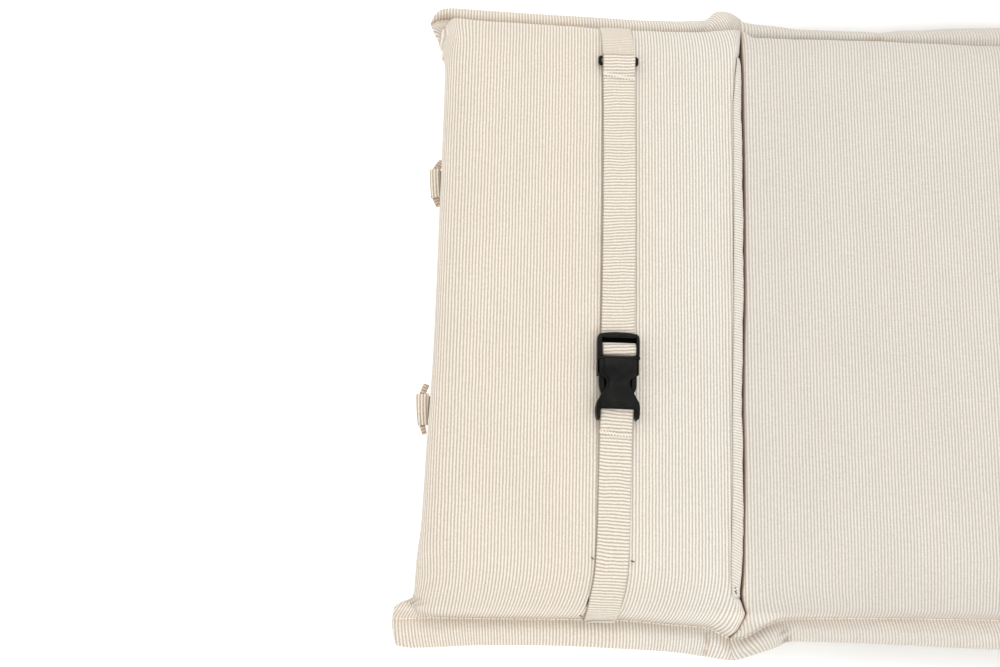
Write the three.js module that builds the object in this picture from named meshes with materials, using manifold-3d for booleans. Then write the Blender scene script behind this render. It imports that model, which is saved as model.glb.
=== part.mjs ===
// A high back chair cushion, lying on its front with its strapped back up. All sizes are in millimetres.
// X runs from the head end to the seat end, Y runs across from the near side to the far side, Z is up.
// One striped cloth is sewn round three pads. A line of stitching along each long side leaves a soft flange
// outside it, and the cloth is sewn through between the pads, which makes two deep creases.

import * as THREE from "three";
import { mergeVertices } from "three/addons/utils/BufferGeometryUtils.js";
import Module from "manifold-3d";

const wasm = await Module();
wasm.setup();

// Driving sizes of the filled cover
const SEAM_HEIGHT = 21;
const SEAM_HALF = 2;
const CROWN_EDGE = 57.5;
const CROWN_RISE = 4.5;
const ROW_ROUND = 2.5;
const FLANGE_HALF = 6.5;
const FLANGE_FULLEST = 0.55;
const FLANGE_DROOP = { near: 3, far: 7 };
const EAR_PUFF = 5;
const EAR_TUCK = 7;
const CREASE_PINCH = { least: 0.35, reach: 8 };
const PAD_CORNER = 214;
const CORNER_MITRE = 2.6;
const UNEVEN = { height: 0.7, along: 71, across: 59 };

// How far the pads' edges are rounded in from each kind of sewn line, on top and under, how far they bulge
// over it, and how their slope curves as it leaves the crown and as it stands on the seam
const EDGES = {
  near: { top: 45, under: 27, bulge: 0.5, curve: 2.2, stand: 1.8 },
  far: { top: 44, under: 27, bulge: 0.5, curve: 2.1, stand: 1.45 },
  end: { top: 30, under: 24, bulge: 5, curve: 2.5, stand: 2.5 },
  flap: { top: 9, under: 18, bulge: 0.5, curve: 2.5, stand: 2.5 },
  back: { top: 6, under: 18, bulge: 0, curve: 2.5, stand: 2.5 },
  crease: { top: 13, under: 18, bulge: 0.5, curve: 2.5, stand: 2.5 },
};

// The near head corner slopes down to its ear: where along y it starts to, and its easier slope
const SOFT_CORNER = { from: -178, over: 36, edge: { top: 36, under: 24, curve: 1.6, stand: 1.3 } };

// The far head corner is folded under the pad along a slanting line
const CORNER_FOLD = {
  start: { x: -589.4, y: 235.6 },
  end: { x: -600.4, y: 215.4 },
  edge: { top: 8, under: 8, curve: 2.5, stand: 2.5 },
};

// Where the end seams and the creases run: x at each y across the cushion
const HEAD_END = [
  { y: -258, x: -609 },
  { y: -256, x: -614.5 },
  { y: -253, x: -617 },
  { y: -247, x: -618.6 },
  { y: -240, x: -619.6 },
  { y: -232, x: -619.4 },
  { y: -227.5, x: -618.2 },
  { y: -224.6, x: -615.4 },
  { y: -223.2, x: -611 },
  { y: -222, x: -606.4 },
  { y: -217, x: -604.4 },
  { y: -205, x: -602.6 },
  { y: -190, x: -600 },
  { y: -170, x: -597.4 },
  { y: -110, x: -595.5 },
  { y: -34, x: -593 },
  { y: 110, x: -592 },
  { y: 190, x: -591.6 },
  { y: 200, x: -592 },
  { y: 208, x: -594 },
  { y: 215, x: -597.4 },
  { y: 222, x: -600.6 },
  { y: 229, x: -604.4 },
  { y: 235, x: -607.4 },
  { y: 238.5, x: -608.6 },
  { y: 243, x: -607.6 },
  { y: 247, x: -605.8 },
  { y: 251, x: -602.4 },
  { y: 254, x: -597 },
];
const HEAD_CREASE = [
  { y: -260, x: -366.5 },
  { y: -249, x: -368.9 },
  { y: -243, x: -369.3 },
  { y: -240.3, x: -368 },
  { y: -237, x: -366.5 },
  { y: -232, x: -364.9 },
  { y: -226.3, x: -362.9 },
  { y: -219, x: -366 },
  { y: -212, x: -367.6 },
  { y: -188, x: -365.8 },
  { y: -108, x: -363.8 },
  { y: -86, x: -363.8 },
  { y: -55, x: -363.2 },
  { y: 6, x: -361.2 },
  { y: 86, x: -359.9 },
  { y: 177, x: -359.4 },
  { y: 200, x: -359.2 },
  { y: 209, x: -359.4 },
  { y: 220.6, x: -358.2 },
  { y: 237, x: -355 },
  { y: 250, x: -352.9 },
  { y: 258, x: -352 },
];
const SEAT_CREASE = [
  { y: -256, x: 116 },
  { y: -150, x: 119 },
  { y: 0, x: 117 },
  { y: 140, x: 119.5 },
  { y: 256, x: 116.5 },
];
const SEAT_END = [
  { y: -254, x: 611 },
  { y: -248, x: 618 },
  { y: -238, x: 620 },
  { y: -227, x: 614 },
  { y: -212, x: 598 },
  { y: -190, x: 594 },
  { y: 190, x: 593 },
  { y: 212, x: 597.5 },
  { y: 227, x: 613 },
  { y: 238, x: 618.5 },
  { y: 248, x: 616 },
  { y: 254, x: 608 },
];
const SEWN_LINES = [HEAD_END, HEAD_CREASE, SEAT_CREASE, SEAT_END];
const PAD_EDGES = [
  { start: EDGES.end, finish: EDGES.flap },
  { start: EDGES.back, finish: EDGES.crease },
  { start: EDGES.crease, finish: EDGES.end },
];

// The stitching line and the outer edge of the flange: y at each x along the cushion
const NEAR_SIDE = [
  { x: -620, seam: -235.6, edge: -255 },
  { x: -605, seam: -234.8, edge: -256.8 },
  { x: -592, seam: -234, edge: -256.4 },
  { x: -560, seam: -233.8, edge: -254.2 },
  { x: -500, seam: -233, edge: -253 },
  { x: -452, seam: -232.6, edge: -254 },
  { x: -431, seam: -233.7, edge: -254.6 },
  { x: -413, seam: -235, edge: -255.4 },
  { x: -392, seam: -236, edge: -257.6 },
  { x: -384, seam: -237, edge: -258.6 },
  { x: -377, seam: -240.4, edge: -259.6 },
  { x: -367, seam: -244, edge: -260.4 },
  { x: -361, seam: -243.8, edge: -259.6 },
  { x: -354, seam: -240.8, edge: -257.4 },
  { x: -346, seam: -236.4, edge: -254.8 },
  { x: -338, seam: -232.2, edge: -252.2 },
  { x: -331, seam: -230.3, edge: -249.4 },
  { x: -325, seam: -229.6, edge: -246.4 },
  { x: -318, seam: -229.4, edge: -245.8 },
  { x: -278, seam: -228.2, edge: -245.8 },
  { x: -163, seam: -225.8, edge: -248 },
  { x: 70, seam: -226, edge: -246.5 },
  { x: 98, seam: -229, edge: -251 },
  { x: 116, seam: -240, edge: -257 },
  { x: 133, seam: -233, edge: -252 },
  { x: 162, seam: -228, edge: -247.5 },
  { x: 400, seam: -229, edge: -249.5 },
  { x: 620, seam: -233, edge: -252.5 },
];
const FAR_SIDE = [
  { x: -609, seam: 239.2, edge: 247 },
  { x: -604, seam: 241.6, edge: 251 },
  { x: -599, seam: 243, edge: 252.8 },
  { x: -589, seam: 243.4, edge: 253.4 },
  { x: -566, seam: 241.8, edge: 252.8 },
  { x: -543, seam: 241, edge: 252.2 },
  { x: -519, seam: 240.2, edge: 251.6 },
  { x: -496, seam: 239, edge: 251.2 },
  { x: -472, seam: 237.4, edge: 250.8 },
  { x: -436, seam: 236.6, edge: 250 },
  { x: -403, seam: 237.2, edge: 250.4 },
  { x: -390, seam: 237.6, edge: 251.6 },
  { x: -383, seam: 238, edge: 251.8 },
  { x: -379, seam: 238.4, edge: 253.2 },
  { x: -374, seam: 239, edge: 258.2 },
  { x: -370, seam: 239.6, edge: 260 },
  { x: -365, seam: 240.8, edge: 259.4 },
  { x: -356, seam: 241.2, edge: 256.6 },
  { x: -352, seam: 239.8, edge: 254.2 },
  { x: -348.6, seam: 236.6, edge: 251.8 },
  { x: -343, seam: 235.4, edge: 250.8 },
  { x: -319, seam: 235.6, edge: 249.4 },
  { x: -304, seam: 236, edge: 247.8 },
  { x: -265, seam: 236.8, edge: 248.2 },
  { x: -220, seam: 237, edge: 251.2 },
  { x: -200, seam: 237, edge: 253.8 },
  { x: -175, seam: 237, edge: 256.8 },
  { x: -150, seam: 237.2, edge: 260 },
  { x: -120, seam: 237.4, edge: 261.6 },
  { x: -60, seam: 237.6, edge: 257 },
  { x: 0, seam: 237, edge: 251 },
  { x: 70, seam: 236, edge: 249 },
  { x: 98, seam: 238.5, edge: 252 },
  { x: 116, seam: 243.5, edge: 257.5 },
  { x: 133, seam: 240, edge: 252.5 },
  { x: 162, seam: 236, edge: 248.5 },
  { x: 400, seam: 237, edge: 250 },
  { x: 612, seam: 239.5, edge: 252 },
];

// Rows and columns of the cover's surface, and how far in from the sides they lie close together
const EDGE_STEPS = 7;
const PAD_STEPS = [4, 6, 5];
const SIDE_REACH = 45;
const ACROSS_STEPS = 5;
const FLANGE_SHARES = [1, 0.93, 0.76, 0.52, 0.28, 0.12];

// Strap, tab and ring
const STRAP = { width: 25.4, thick: 1.2, clear: 0.5, layer: 0.35 };
const STRAP_LINE = [
  { y: -231, x: -466 },
  { y: -218, x: -464.9 },
  { y: -198, x: -462.8 },
  { y: -170, x: -460.8 },
  { y: -120, x: -459.8 },
  { y: -70, x: -459.8 },
  { y: -26, x: -459.5 },
  { y: 5, x: -459 },
  { y: 80, x: -458.6 },
  { y: 161, x: -459 },
  { y: 187, x: -459.6 },
  { y: 201, x: -460.1 },
  { y: 231, x: -460.5 },
];
const RING = { y: 193.4, width: 31.6, length: 7.8, bar: 2, side: 2.6, thick: 2, bevel: 0.5 };
const STRAP_FAR_END = 179;
const STRAP_NEAR_END = -108;

// Buckle, from its far end towards the near side, in distances along the strap and heights over the pad
const BUCKLE = { far: -25.4, x: -459.8, half: 15.6, base: 0.6, top: 10.8, bevel: 0.6 };
const OUTER_BAR = { from: 0, to: 3.7, low: 3.7, high: 6.6 };
const MIDDLE_BAR = { from: 10, to: 14, low: 2.2, high: 4.6 };
const WINDOW_END = 17.5;
const ROOT_END = 19.2;
const RAIL = { inner: 13.4, low: 1, high: 7.6 };
const SOCKET = { mouth: 19.5, wall: 14.3, floor: 2.4, roof: 8.6, hollowEnd: 46.6 };
const PRONG = { low: 3, high: 7.9 };
const STRAP_POCKET = { from: 47.8, to: 57, half: 13, roof: 8.2 };
const END_BAR = { from: 51, to: 54.2, low: 3.4, high: 5.9 };
const TAIL = 17;

// Loops of tape in the head end's seam: near and far end of each, and how far their outer edge stands off
const LOOPS = [
  { name: "loop_far", far: 120.5, near: 80.5, outerFar: -604.6, outerNear: -603.6 },
  { name: "loop_near", far: -60, near: -101.5, outerFar: -608.6, outerNear: -605 },
];
const LOOP = { band: 7.2, leg: 8.5, thick: 2.2, rise: 2.5, corner: 5, clear: 1.5 };

// Flap beside the first crease: how far its sewn edge and its free edge lie from the crease
const FLAP = { thick: 1.4, clear: 1, steps: 44, bends: 4 };
const FLAP_LINE = [
  { y: -213, sewn: 6.8, free: 2.2 },
  { y: -188, sewn: 8, free: 2.2 },
  { y: -108, sewn: 8.8, free: 2.2 },
  { y: 6, sewn: 9.4, free: 2.2 },
  { y: 86, sewn: 9.2, free: 2.2 },
  { y: 163, sewn: 9, free: 2.2 },
  { y: 188, sewn: 7.4, free: 2.2 },
  { y: 204, sewn: 5.6, free: 2.2 },
];

// Reads one column of a table at a place along it, on a smooth curve that never overshoots the rows.
function readTable(rows, key, column, at) {
  const last = rows.length - 1;
  if (at <= rows[0][key]) return rows[0][column];
  if (at >= rows[last][key]) return rows[last][column];
  const secant = (k) => (rows[k + 1][column] - rows[k][column]) / (rows[k + 1][key] - rows[k][key]);
  const slope = (k) => {
    if (k === 0 || k === last) return 0;
    const product = secant(k - 1) * secant(k);
    return product <= 0 ? 0 : (2 * product) / (secant(k - 1) + secant(k));
  };
  let k = 0;
  while (rows[k + 1][key] < at) k += 1;
  const span = rows[k + 1][key] - rows[k][key];
  const t = (at - rows[k][key]) / span;
  const rest = 1 - t;
  return (
    rest * rest * ((1 + 2 * t) * rows[k][column] + t * span * slope(k)) +
    t * t * ((3 - 2 * t) * rows[k + 1][column] - rest * span * slope(k + 1))
  );
}

const clamp01 = (value) => Math.min(Math.max(value, 0), 1);
const smooth = (value) => clamp01(value) ** 2 * (3 - 2 * clamp01(value));
const arch = (value) => Math.sqrt(1 - (1 - clamp01(value)) ** 2);
const lineX = (k, y) => readTable(SEWN_LINES[k], "y", "x", y);
const nearSeam = (x) => readTable(NEAR_SIDE, "x", "seam", x);
const nearEdge = (x) => readTable(NEAR_SIDE, "x", "edge", x);
const farSeam = (x) => readTable(FAR_SIDE, "x", "seam", x);
const farEdge = (x) => readTable(FAR_SIDE, "x", "edge", x);

// The pads stop square at the ends, while the seam runs on out to the corner ears.
function padEnd(k, y) {
  const isEnd = k === 0 || k === SEWN_LINES.length - 1;
  return lineX(k, isEnd ? THREE.MathUtils.clamp(y, -PAD_CORNER, PAD_CORNER) : y);
}

function padAt(x, y) {
  let k = 0;
  while (k < PAD_EDGES.length - 1 && x > lineX(k + 1, y)) k += 1;
  return k;
}

// How far a place has come up one edge of a pad, from 0 at its sewn line to 1 on the crown.
function edgeRise(distance, edge, face) {
  const short = clamp01(1 - distance / edge[face]);
  return (1 - short ** edge.curve) ** (1 / edge.stand);
}

// How far inside the far head corner's fold a place lies.
function foldDistance(x, y) {
  const { start, end } = CORNER_FOLD;
  const alongX = end.x - start.x;
  const alongY = end.y - start.y;
  return ((y - start.y) * alongX - (x - start.x) * alongY) / Math.hypot(alongX, alongY);
}

// How far a place has come up from the sewn lines around its pad: 0 at a line, 1 inside the rounded edges.
function fullness(k, x, y, face) {
  const { start, finish } = PAD_EDGES[k];
  const fromStart = x - padEnd(k, y);
  const soft = k === 0 ? smooth((SOFT_CORNER.from - y) / SOFT_CORNER.over) : 0;
  const softRise = edgeRise(fromStart, SOFT_CORNER.edge, face);
  const rises = [
    THREE.MathUtils.lerp(edgeRise(fromStart, start, face), softRise, soft),
    edgeRise(padEnd(k + 1, y) - x, finish, face),
    edgeRise(y - nearSeam(x), EDGES.near, face),
    edgeRise(farSeam(x) - y, EDGES.far, face),
  ];
  if (k === 0) rises.push(edgeRise(foldDistance(x, y), CORNER_FOLD.edge, face));
  const lost = rises.reduce((sum, rise) => sum + (1 - rise) ** CORNER_MITRE, 0);
  return clamp01(1 - lost ** (1 / CORNER_MITRE));
}

function crownHeight(k, x, y) {
  const along = (2 * (x - padEnd(k, y))) / (padEnd(k + 1, y) - padEnd(k, y)) - 1;
  const across = (2 * (y - nearSeam(x))) / (farSeam(x) - nearSeam(x)) - 1;
  const dome = (1 - clamp01(Math.abs(along)) ** 4) * (1 - clamp01(Math.abs(across)) ** 4);
  const uneven = Math.sin(x / UNEVEN.along) * Math.cos(y / UNEVEN.across);
  return CROWN_EDGE + CROWN_RISE * dome + UNEVEN.height * uneven * dome;
}

function endDistance(x, y) {
  return Math.min(x - lineX(0, y), lineX(SEWN_LINES.length - 1, y) - x);
}

// Half the flange's thickness: pinched at the stitching, round at its outer edge and ends, thinner at a crease.
function flangeHalf(x, y, share) {
  const swell =
    share < FLANGE_FULLEST
      ? smooth(share / FLANGE_FULLEST)
      : arch((1 - share) / (1 - FLANGE_FULLEST));
  const thick = share < FLANGE_FULLEST ? SEAM_HALF + (FLANGE_HALF - SEAM_HALF) * swell : FLANGE_HALF * swell;
  const fromCrease = Math.min(Math.abs(x - lineX(1, y)), Math.abs(x - lineX(2, y)));
  const pinch = CREASE_PINCH.least + (1 - CREASE_PINCH.least) * smooth(fromCrease / CREASE_PINCH.reach);
  return thick * pinch * arch(endDistance(x, y) / EAR_TUCK);
}

// A point of the cover over or under a place on the plan. The pads' sides bulge out past that place.
function coverPoint(x, y, face) {
  const up = face === "top" ? 1 : -1;
  if (y < nearSeam(x) || y > farSeam(x)) {
    const share =
      y < nearSeam(x)
        ? (nearSeam(x) - y) / (nearSeam(x) - nearEdge(x))
        : (y - farSeam(x)) / (farEdge(x) - farSeam(x));
    const hangs = y < 0 ? FLANGE_DROOP.near : FLANGE_DROOP.far;
    const droop = hangs * share ** 1.5 * smooth(endDistance(x, y) / 20);
    const drawnOut = y > 0 ? droop / 2 : 0;
    return new THREE.Vector3(x, y + drawnOut, SEAM_HEIGHT - droop + up * flangeHalf(x, y, share));
  }
  const k = padAt(x, y);
  const full = fullness(k, x, y, face);
  const fromSide = Math.min(y - nearSeam(x), farSeam(x) - y);
  const half = SEAM_HALF * arch(endDistance(x, y) / SEAM_HALF);
  const puff = EAR_PUFF * arch(endDistance(x, y) / EAR_TUCK) * smooth(fromSide / EAR_TUCK) * (1 - full);
  const pad = face === "top" ? crownHeight(k, x, y) - SEAM_HEIGHT - half : SEAM_HEIGHT - half;
  const { start, finish } = PAD_EDGES[k];
  const swell = Math.sin(Math.PI * full) * (face === "top" ? 1 : 0.6);
  const lean = (distance, edge) => edge.bulge * swell * clamp01(1 - distance / edge[face]);
  const z = SEAM_HEIGHT + up * Math.min(half + pad * full + puff, face === "top" ? Infinity : SEAM_HEIGHT);
  return new THREE.Vector3(
    x - lean(x - padEnd(k, y), start) + lean(padEnd(k + 1, y) - x, finish),
    y - lean(y - nearSeam(x), EDGES.near) + lean(farSeam(x) - y, EDGES.far),
    z,
  );
}

// Distances from a sewn line at which the cover has a row, close together where it comes up steeply.
function edgeOffsets(radius) {
  return Array.from({ length: EDGE_STEPS + 1 }, (_, step) => {
    const turn = (Math.PI / 2) * (step / EDGE_STEPS);
    return radius * (1 - Math.cos(turn) ** (2 / ROW_ROUND));
  });
}

// Each row of the cover gives its x at a given y: set off from a sewn line, or a share of the way across a pad.
function coverRows() {
  const rows = [];
  PAD_EDGES.forEach(({ start, finish }, k) => {
    edgeOffsets(start.top).forEach((offset) => rows.push((y) => lineX(k, y) + offset));
    for (let step = 1; step < PAD_STEPS[k]; step += 1) {
      const share = step / PAD_STEPS[k];
      rows.push((y) => {
        const from = lineX(k, y) + start.top;
        return from + share * (lineX(k + 1, y) - finish.top - from);
      });
    }
    const back = edgeOffsets(finish.top).reverse();
    const shared = k < PAD_EDGES.length - 1 ? back.slice(0, -1) : back;
    shared.forEach((offset) => rows.push((y) => lineX(k + 1, y) - offset));
  });
  return rows;
}

// Each column of the cover gives its y at a given x.
function coverColumns() {
  const offsets = edgeOffsets(SIDE_REACH);
  const columns = FLANGE_SHARES.map((share) => (x) => nearSeam(x) + share * (nearEdge(x) - nearSeam(x)));
  offsets.forEach((offset) => columns.push((x) => nearSeam(x) + offset));
  for (let step = 1; step < ACROSS_STEPS; step += 1) {
    const share = step / ACROSS_STEPS;
    columns.push((x) => nearSeam(x) + SIDE_REACH + share * (farSeam(x) - nearSeam(x) - 2 * SIDE_REACH));
  }
  [...offsets].reverse().forEach((offset) => columns.push((x) => farSeam(x) - offset));
  [...FLANGE_SHARES].reverse().forEach((share) => {
    columns.push((x) => farSeam(x) + share * (farEdge(x) - farSeam(x)));
  });
  return columns;
}

function meshFrom(positions, index) {
  const geometry = new THREE.BufferGeometry();
  geometry.setAttribute("position", new THREE.Float32BufferAttribute(positions, 3));
  geometry.setIndex(index);
  return geometry;
}

// Two sheets of the cover, top and underside, that share their outline.
function coverGeometry() {
  const rows = coverRows();
  const columns = coverColumns();
  const positions = [];
  const topIndex = [];
  const underIndex = [];
  const lastRow = rows.length - 1;
  const lastColumn = columns.length - 1;
  rows.forEach((row, i) => {
    topIndex.push([]);
    underIndex.push([]);
    columns.forEach((column, j) => {
      let y = column(row(0));
      y = column(row(y));
      const x = row(y);
      const outline = i === 0 || i === lastRow || j === 0 || j === lastColumn;
      const top = coverPoint(x, y, "top");
      const under = coverPoint(x, y, "under");
      if (outline) top.add(under).multiplyScalar(0.5);
      topIndex[i].push(positions.length / 3);
      positions.push(top.x, top.y, top.z);
      underIndex[i].push(outline ? topIndex[i][j] : positions.length / 3);
      if (!outline) positions.push(...under.toArray());
    });
  });
  const index = [];
  for (let i = 0; i < lastRow; i += 1) {
    for (let j = 0; j < lastColumn; j += 1) {
      const t = [topIndex[i][j], topIndex[i + 1][j], topIndex[i + 1][j + 1], topIndex[i][j + 1]];
      const u = [underIndex[i][j], underIndex[i + 1][j], underIndex[i + 1][j + 1], underIndex[i][j + 1]];
      index.push(t[0], t[1], t[2], t[0], t[2], t[3]);
      index.push(u[0], u[2], u[1], u[0], u[3], u[2]);
    }
  }
  return meshFrom(positions, index);
}

// A strip of cloth: rows of points along its middle surface, thickened to both sides.
function stripGeometry(rows, thick) {
  const lastRow = rows.length - 1;
  const lastColumn = rows[0].length - 1;
  const point = (i, j) => rows[THREE.MathUtils.clamp(i, 0, lastRow)][THREE.MathUtils.clamp(j, 0, lastColumn)];
  const positions = [];
  [1, -1].forEach((side) => {
    rows.forEach((row, i) => {
      row.forEach((middle, j) => {
        const along = point(i + 1, j).clone().sub(point(i - 1, j));
        const across = point(i, j + 1).clone().sub(point(i, j - 1));
        const normal = along.cross(across).normalize();
        positions.push(...middle.clone().addScaledVector(normal, (side * thick) / 2).toArray());
      });
    });
  });
  const id = (side, i, j) => side * rows.length * rows[0].length + i * rows[0].length + j;
  const index = [];
  const quad = (a, b, c, d) => index.push(a, b, c, a, c, d);
  for (let i = 0; i < lastRow; i += 1) {
    for (let j = 0; j < lastColumn; j += 1) {
      quad(id(0, i, j), id(0, i + 1, j), id(0, i + 1, j + 1), id(0, i, j + 1));
      quad(id(1, i, j), id(1, i, j + 1), id(1, i + 1, j + 1), id(1, i + 1, j));
    }
    quad(id(0, i, 0), id(1, i, 0), id(1, i + 1, 0), id(0, i + 1, 0));
    quad(id(0, i + 1, lastColumn), id(1, i + 1, lastColumn), id(1, i, lastColumn), id(0, i, lastColumn));
  }
  for (let j = 0; j < lastColumn; j += 1) {
    quad(id(0, 0, j + 1), id(1, 0, j + 1), id(1, 0, j), id(0, 0, j));
    quad(id(0, lastRow, j), id(1, lastRow, j), id(1, lastRow, j + 1), id(0, lastRow, j + 1));
  }
  return meshFrom(positions, index);
}

const strapX = (y) => readTable(STRAP_LINE, "y", "x", y);

// A point at a height over the cover, square to it, on the line that the strap follows.
function overCover(y, lift) {
  const step = 0.4;
  const x = strapX(y);
  const here = coverPoint(x, y, "top");
  const before = coverPoint(x, Math.max(y - step, nearSeam(x) + 0.01), "top");
  const after = coverPoint(x, Math.min(y + step, farSeam(x) - 0.01), "top");
  const normal = new THREE.Vector3(0, before.z - after.z, after.y - before.y).normalize();
  return here.addScaledVector(normal, lift);
}

// A flat strap along a line of points, always level across.
function strapRows(line) {
  return line.map((middle) => [-0.5, 0.5].map((share) => {
    return new THREE.Vector3(middle.x + share * STRAP.width, middle.y, middle.z);
  }));
}


const LOWER_LAYER = STRAP.clear + STRAP.thick / 2;
const UPPER_LAYER = LOWER_LAYER + STRAP.thick + STRAP.layer;
const WALL_CLEAR = 0.8;
const RING_TURN = RING.thick / 2 + RING.bevel + STRAP.thick / 2 + 0.04;
const RING_LIFT = LOWER_LAYER + RING_TURN;
const BAR_MIDDLE = RING.length / 2 - RING.bar / 2;
const ringPlace = overCover(RING.y, RING_LIFT);
const ringAlong = overCover(RING.y + 3, RING_LIFT).sub(overCover(RING.y - 3, RING_LIFT)).setX(0).normalize();
const wallSteps = edgeOffsets(SIDE_REACH).slice(1);

// A point in the ring's own plane: along the strap from its middle, and square to it.
function atRing(along, lift) {
  const up = new THREE.Vector3(0, -ringAlong.z, ringAlong.y);
  return ringPlace.clone().addScaledVector(ringAlong, along).addScaledVector(up, lift);
}

// Half a turn of tape round one of the ring's bars, from under it to over it, inside the ring.
function ringTurn(side) {
  const steps = 8;
  return Array.from({ length: steps + 1 }, (_, step) => {
    const turn = (Math.PI * step) / steps - Math.PI / 2;
    return atRing(side * (BAR_MIDDLE - RING_TURN * Math.cos(turn)), RING_TURN * Math.sin(turn));
  });
}

// The tab runs up from the far seam, round the ring's far bar and back over itself to the seam.
function tabLine() {
  const seam = farSeam(strapX(RING.y));
  const places = wallSteps.map((offset) => seam - offset).filter((y) => y > RING.y + 8);
  const lower = places.map((y) => overCover(y, LOWER_LAYER + WALL_CLEAR));
  const upper = places.map((y) => overCover(y, UPPER_LAYER + WALL_CLEAR)).reverse();
  return [...lower, ...ringTurn(1), ...upper];
}

// Heights over the pad near the buckle are counted from its own level base.
const BUCKLE_LEVEL = Math.max(
  ...[0, 22, 44, 65].map((along) => coverPoint(BUCKLE.x, BUCKLE.far - along, "top").z),
);
const buckleY = (along) => BUCKLE.far - along;
const atBuckle = (along, height) => {
  return new THREE.Vector3(strapX(buckleY(along)), buckleY(along), BUCKLE_LEVEL + height);
};

// The far strap: its sewn-back end, round the ring, along the pad, through the adjuster and back under itself.
function strapFarLine() {
  const back = [STRAP_FAR_END, STRAP_FAR_END + 5].map((y) => overCover(y, LOWER_LAYER));
  const forward = [
    { y: 185.5, lift: UPPER_LAYER + 0.6 },
    { y: 180, lift: UPPER_LAYER + 0.1 },
    ...[170, 155, 130, 105, 80, 50, 25, 5, -6].map((y) => ({ y, lift: UPPER_LAYER - 0.4 })),
  ].map(({ y, lift }) => overCover(y, lift));
  const under = UPPER_LAYER - 0.05;
  const over = MIDDLE_BAR.high + 0.35 + STRAP.thick / 2;
  return [
    ...back,
    ...ringTurn(-1),
    ...forward,
    atBuckle(-8, under),
    atBuckle(2, under),
    atBuckle(5, under + 0.3),
    atBuckle(6.8, (under + over) / 2),
    atBuckle(8.6, over - 0.3),
    atBuckle(10.4, over),
    atBuckle(13.4, over),
    atBuckle(15, over - 1),
    atBuckle(15.6, (over + LOWER_LAYER) / 2),
    atBuckle(15, LOWER_LAYER + 0.75),
    atBuckle(13.4, LOWER_LAYER),
    atBuckle(8, LOWER_LAYER),
    atBuckle(-TAIL, LOWER_LAYER - 0.05),
  ];
}

// The near strap: from the near seam up the pad's side to the socket's end bar, and back under itself.
function strapNearLine() {
  const seam = nearSeam(strapX(-231));
  const side = wallSteps.map((offset) => overCover(seam + offset, LOWER_LAYER + WALL_CLEAR));
  const over = END_BAR.high + 0.35 + STRAP.thick / 2;
  const under = END_BAR.low - 0.35 - STRAP.thick / 2;
  const middle = (END_BAR.from + END_BAR.to) / 2;
  const flat = [-175, -160, -140, -125].map((y) => overCover(y, LOWER_LAYER + 0.1));
  return [
    ...side,
    ...flat,
    overCover(-114, LOWER_LAYER + 0.7),
    overCover(STRAP_NEAR_END + 2, UPPER_LAYER),
    atBuckle(72, UPPER_LAYER + 0.4),
    atBuckle(64, UPPER_LAYER + 2.4),
    atBuckle(58, over - 0.6),
    atBuckle(middle, over),
    atBuckle(END_BAR.from - 0.3, over - 0.3),
    atBuckle(END_BAR.from - 1.3, (over + under) / 2),
    atBuckle(END_BAR.from - 0.3, under + 0.3),
    atBuckle(middle, under),
    atBuckle(60, under - 0.5),
    atBuckle(68, LOWER_LAYER + 0.1),
    overCover(STRAP_NEAR_END, LOWER_LAYER - 0.05),
  ];
}

// A loop of tape, laid flat: two short legs out of the seam and a band along it, with slanting corners.
function loopRows({ far, near, outerFar, outerNear }) {
  const root = (y) => lineX(0, y) - LOOP.clear;
  const { band, leg, corner, rise } = LOOP;
  const innerFar = outerFar + band;
  const innerNear = outerNear + band;
  const folds = [
    { outerX: root(far), outerY: far, innerX: root(far - leg), innerY: far - leg, share: 0 },
    { outerX: outerFar + corner + 2, outerY: far, innerX: innerFar + 0.9, innerY: far - leg - 0.2, share: 0.5 },
    { outerX: outerFar + 1.5, outerY: far - corner, innerX: innerFar + 0.3, innerY: far - leg - 0.8, share: 0.8 },
    { outerX: outerFar, outerY: far - 2 * corner, innerX: innerFar, innerY: far - leg - 3, share: 1 },
    { outerX: outerNear, outerY: near + 2 * corner, innerX: innerNear, innerY: near + leg + 3, share: 1 },
    { outerX: outerNear + 1.5, outerY: near + corner, innerX: innerNear + 0.3, innerY: near + leg + 0.8, share: 0.8 },
    { outerX: outerNear + corner + 2, outerY: near, innerX: innerNear + 0.9, innerY: near + leg + 0.2, share: 0.5 },
    { outerX: root(near), outerY: near, innerX: root(near + leg), innerY: near + leg, share: 0 },
  ];
  return folds.map(({ outerX, outerY, innerX, innerY, share }) => [
    new THREE.Vector3(innerX, innerY, SEAM_HEIGHT + rise * share),
    new THREE.Vector3(outerX, outerY, SEAM_HEIGHT + rise * share),
  ]);
}

// The flap lies over the head pad's edge and ends just over the crease.
function flapRows() {
  const from = FLAP_LINE[0].y;
  const to = FLAP_LINE[FLAP_LINE.length - 1].y;
  const rows = [];
  for (let step = 0; step <= FLAP.steps; step += 1) {
    const y = from + ((to - from) * step) / FLAP.steps;
    const sewn = readTable(FLAP_LINE, "y", "sewn", y);
    const free = readTable(FLAP_LINE, "y", "free", y);
    const row = [];
    for (let bend = 0; bend <= FLAP.bends; bend += 1) {
      row.push(overEdge(y, sewn + (free - sewn) * (bend / FLAP.bends)));
    }
    rows.push(row.reverse());
  }
  return rows;
}

// A point over the head pad's edge at a distance back from the first crease.
function overEdge(y, inset) {
  const step = 0.3;
  const place = (distance) => coverPoint(lineX(1, y) - Math.max(distance, 0.05), y, "top");
  const before = place(inset + step);
  const after = place(inset - step);
  const normal = new THREE.Vector3(before.z - after.z, 0, after.x - before.x).normalize();
  return place(inset).addScaledVector(normal, FLAP.clear + FLAP.thick / 2);
}

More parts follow.
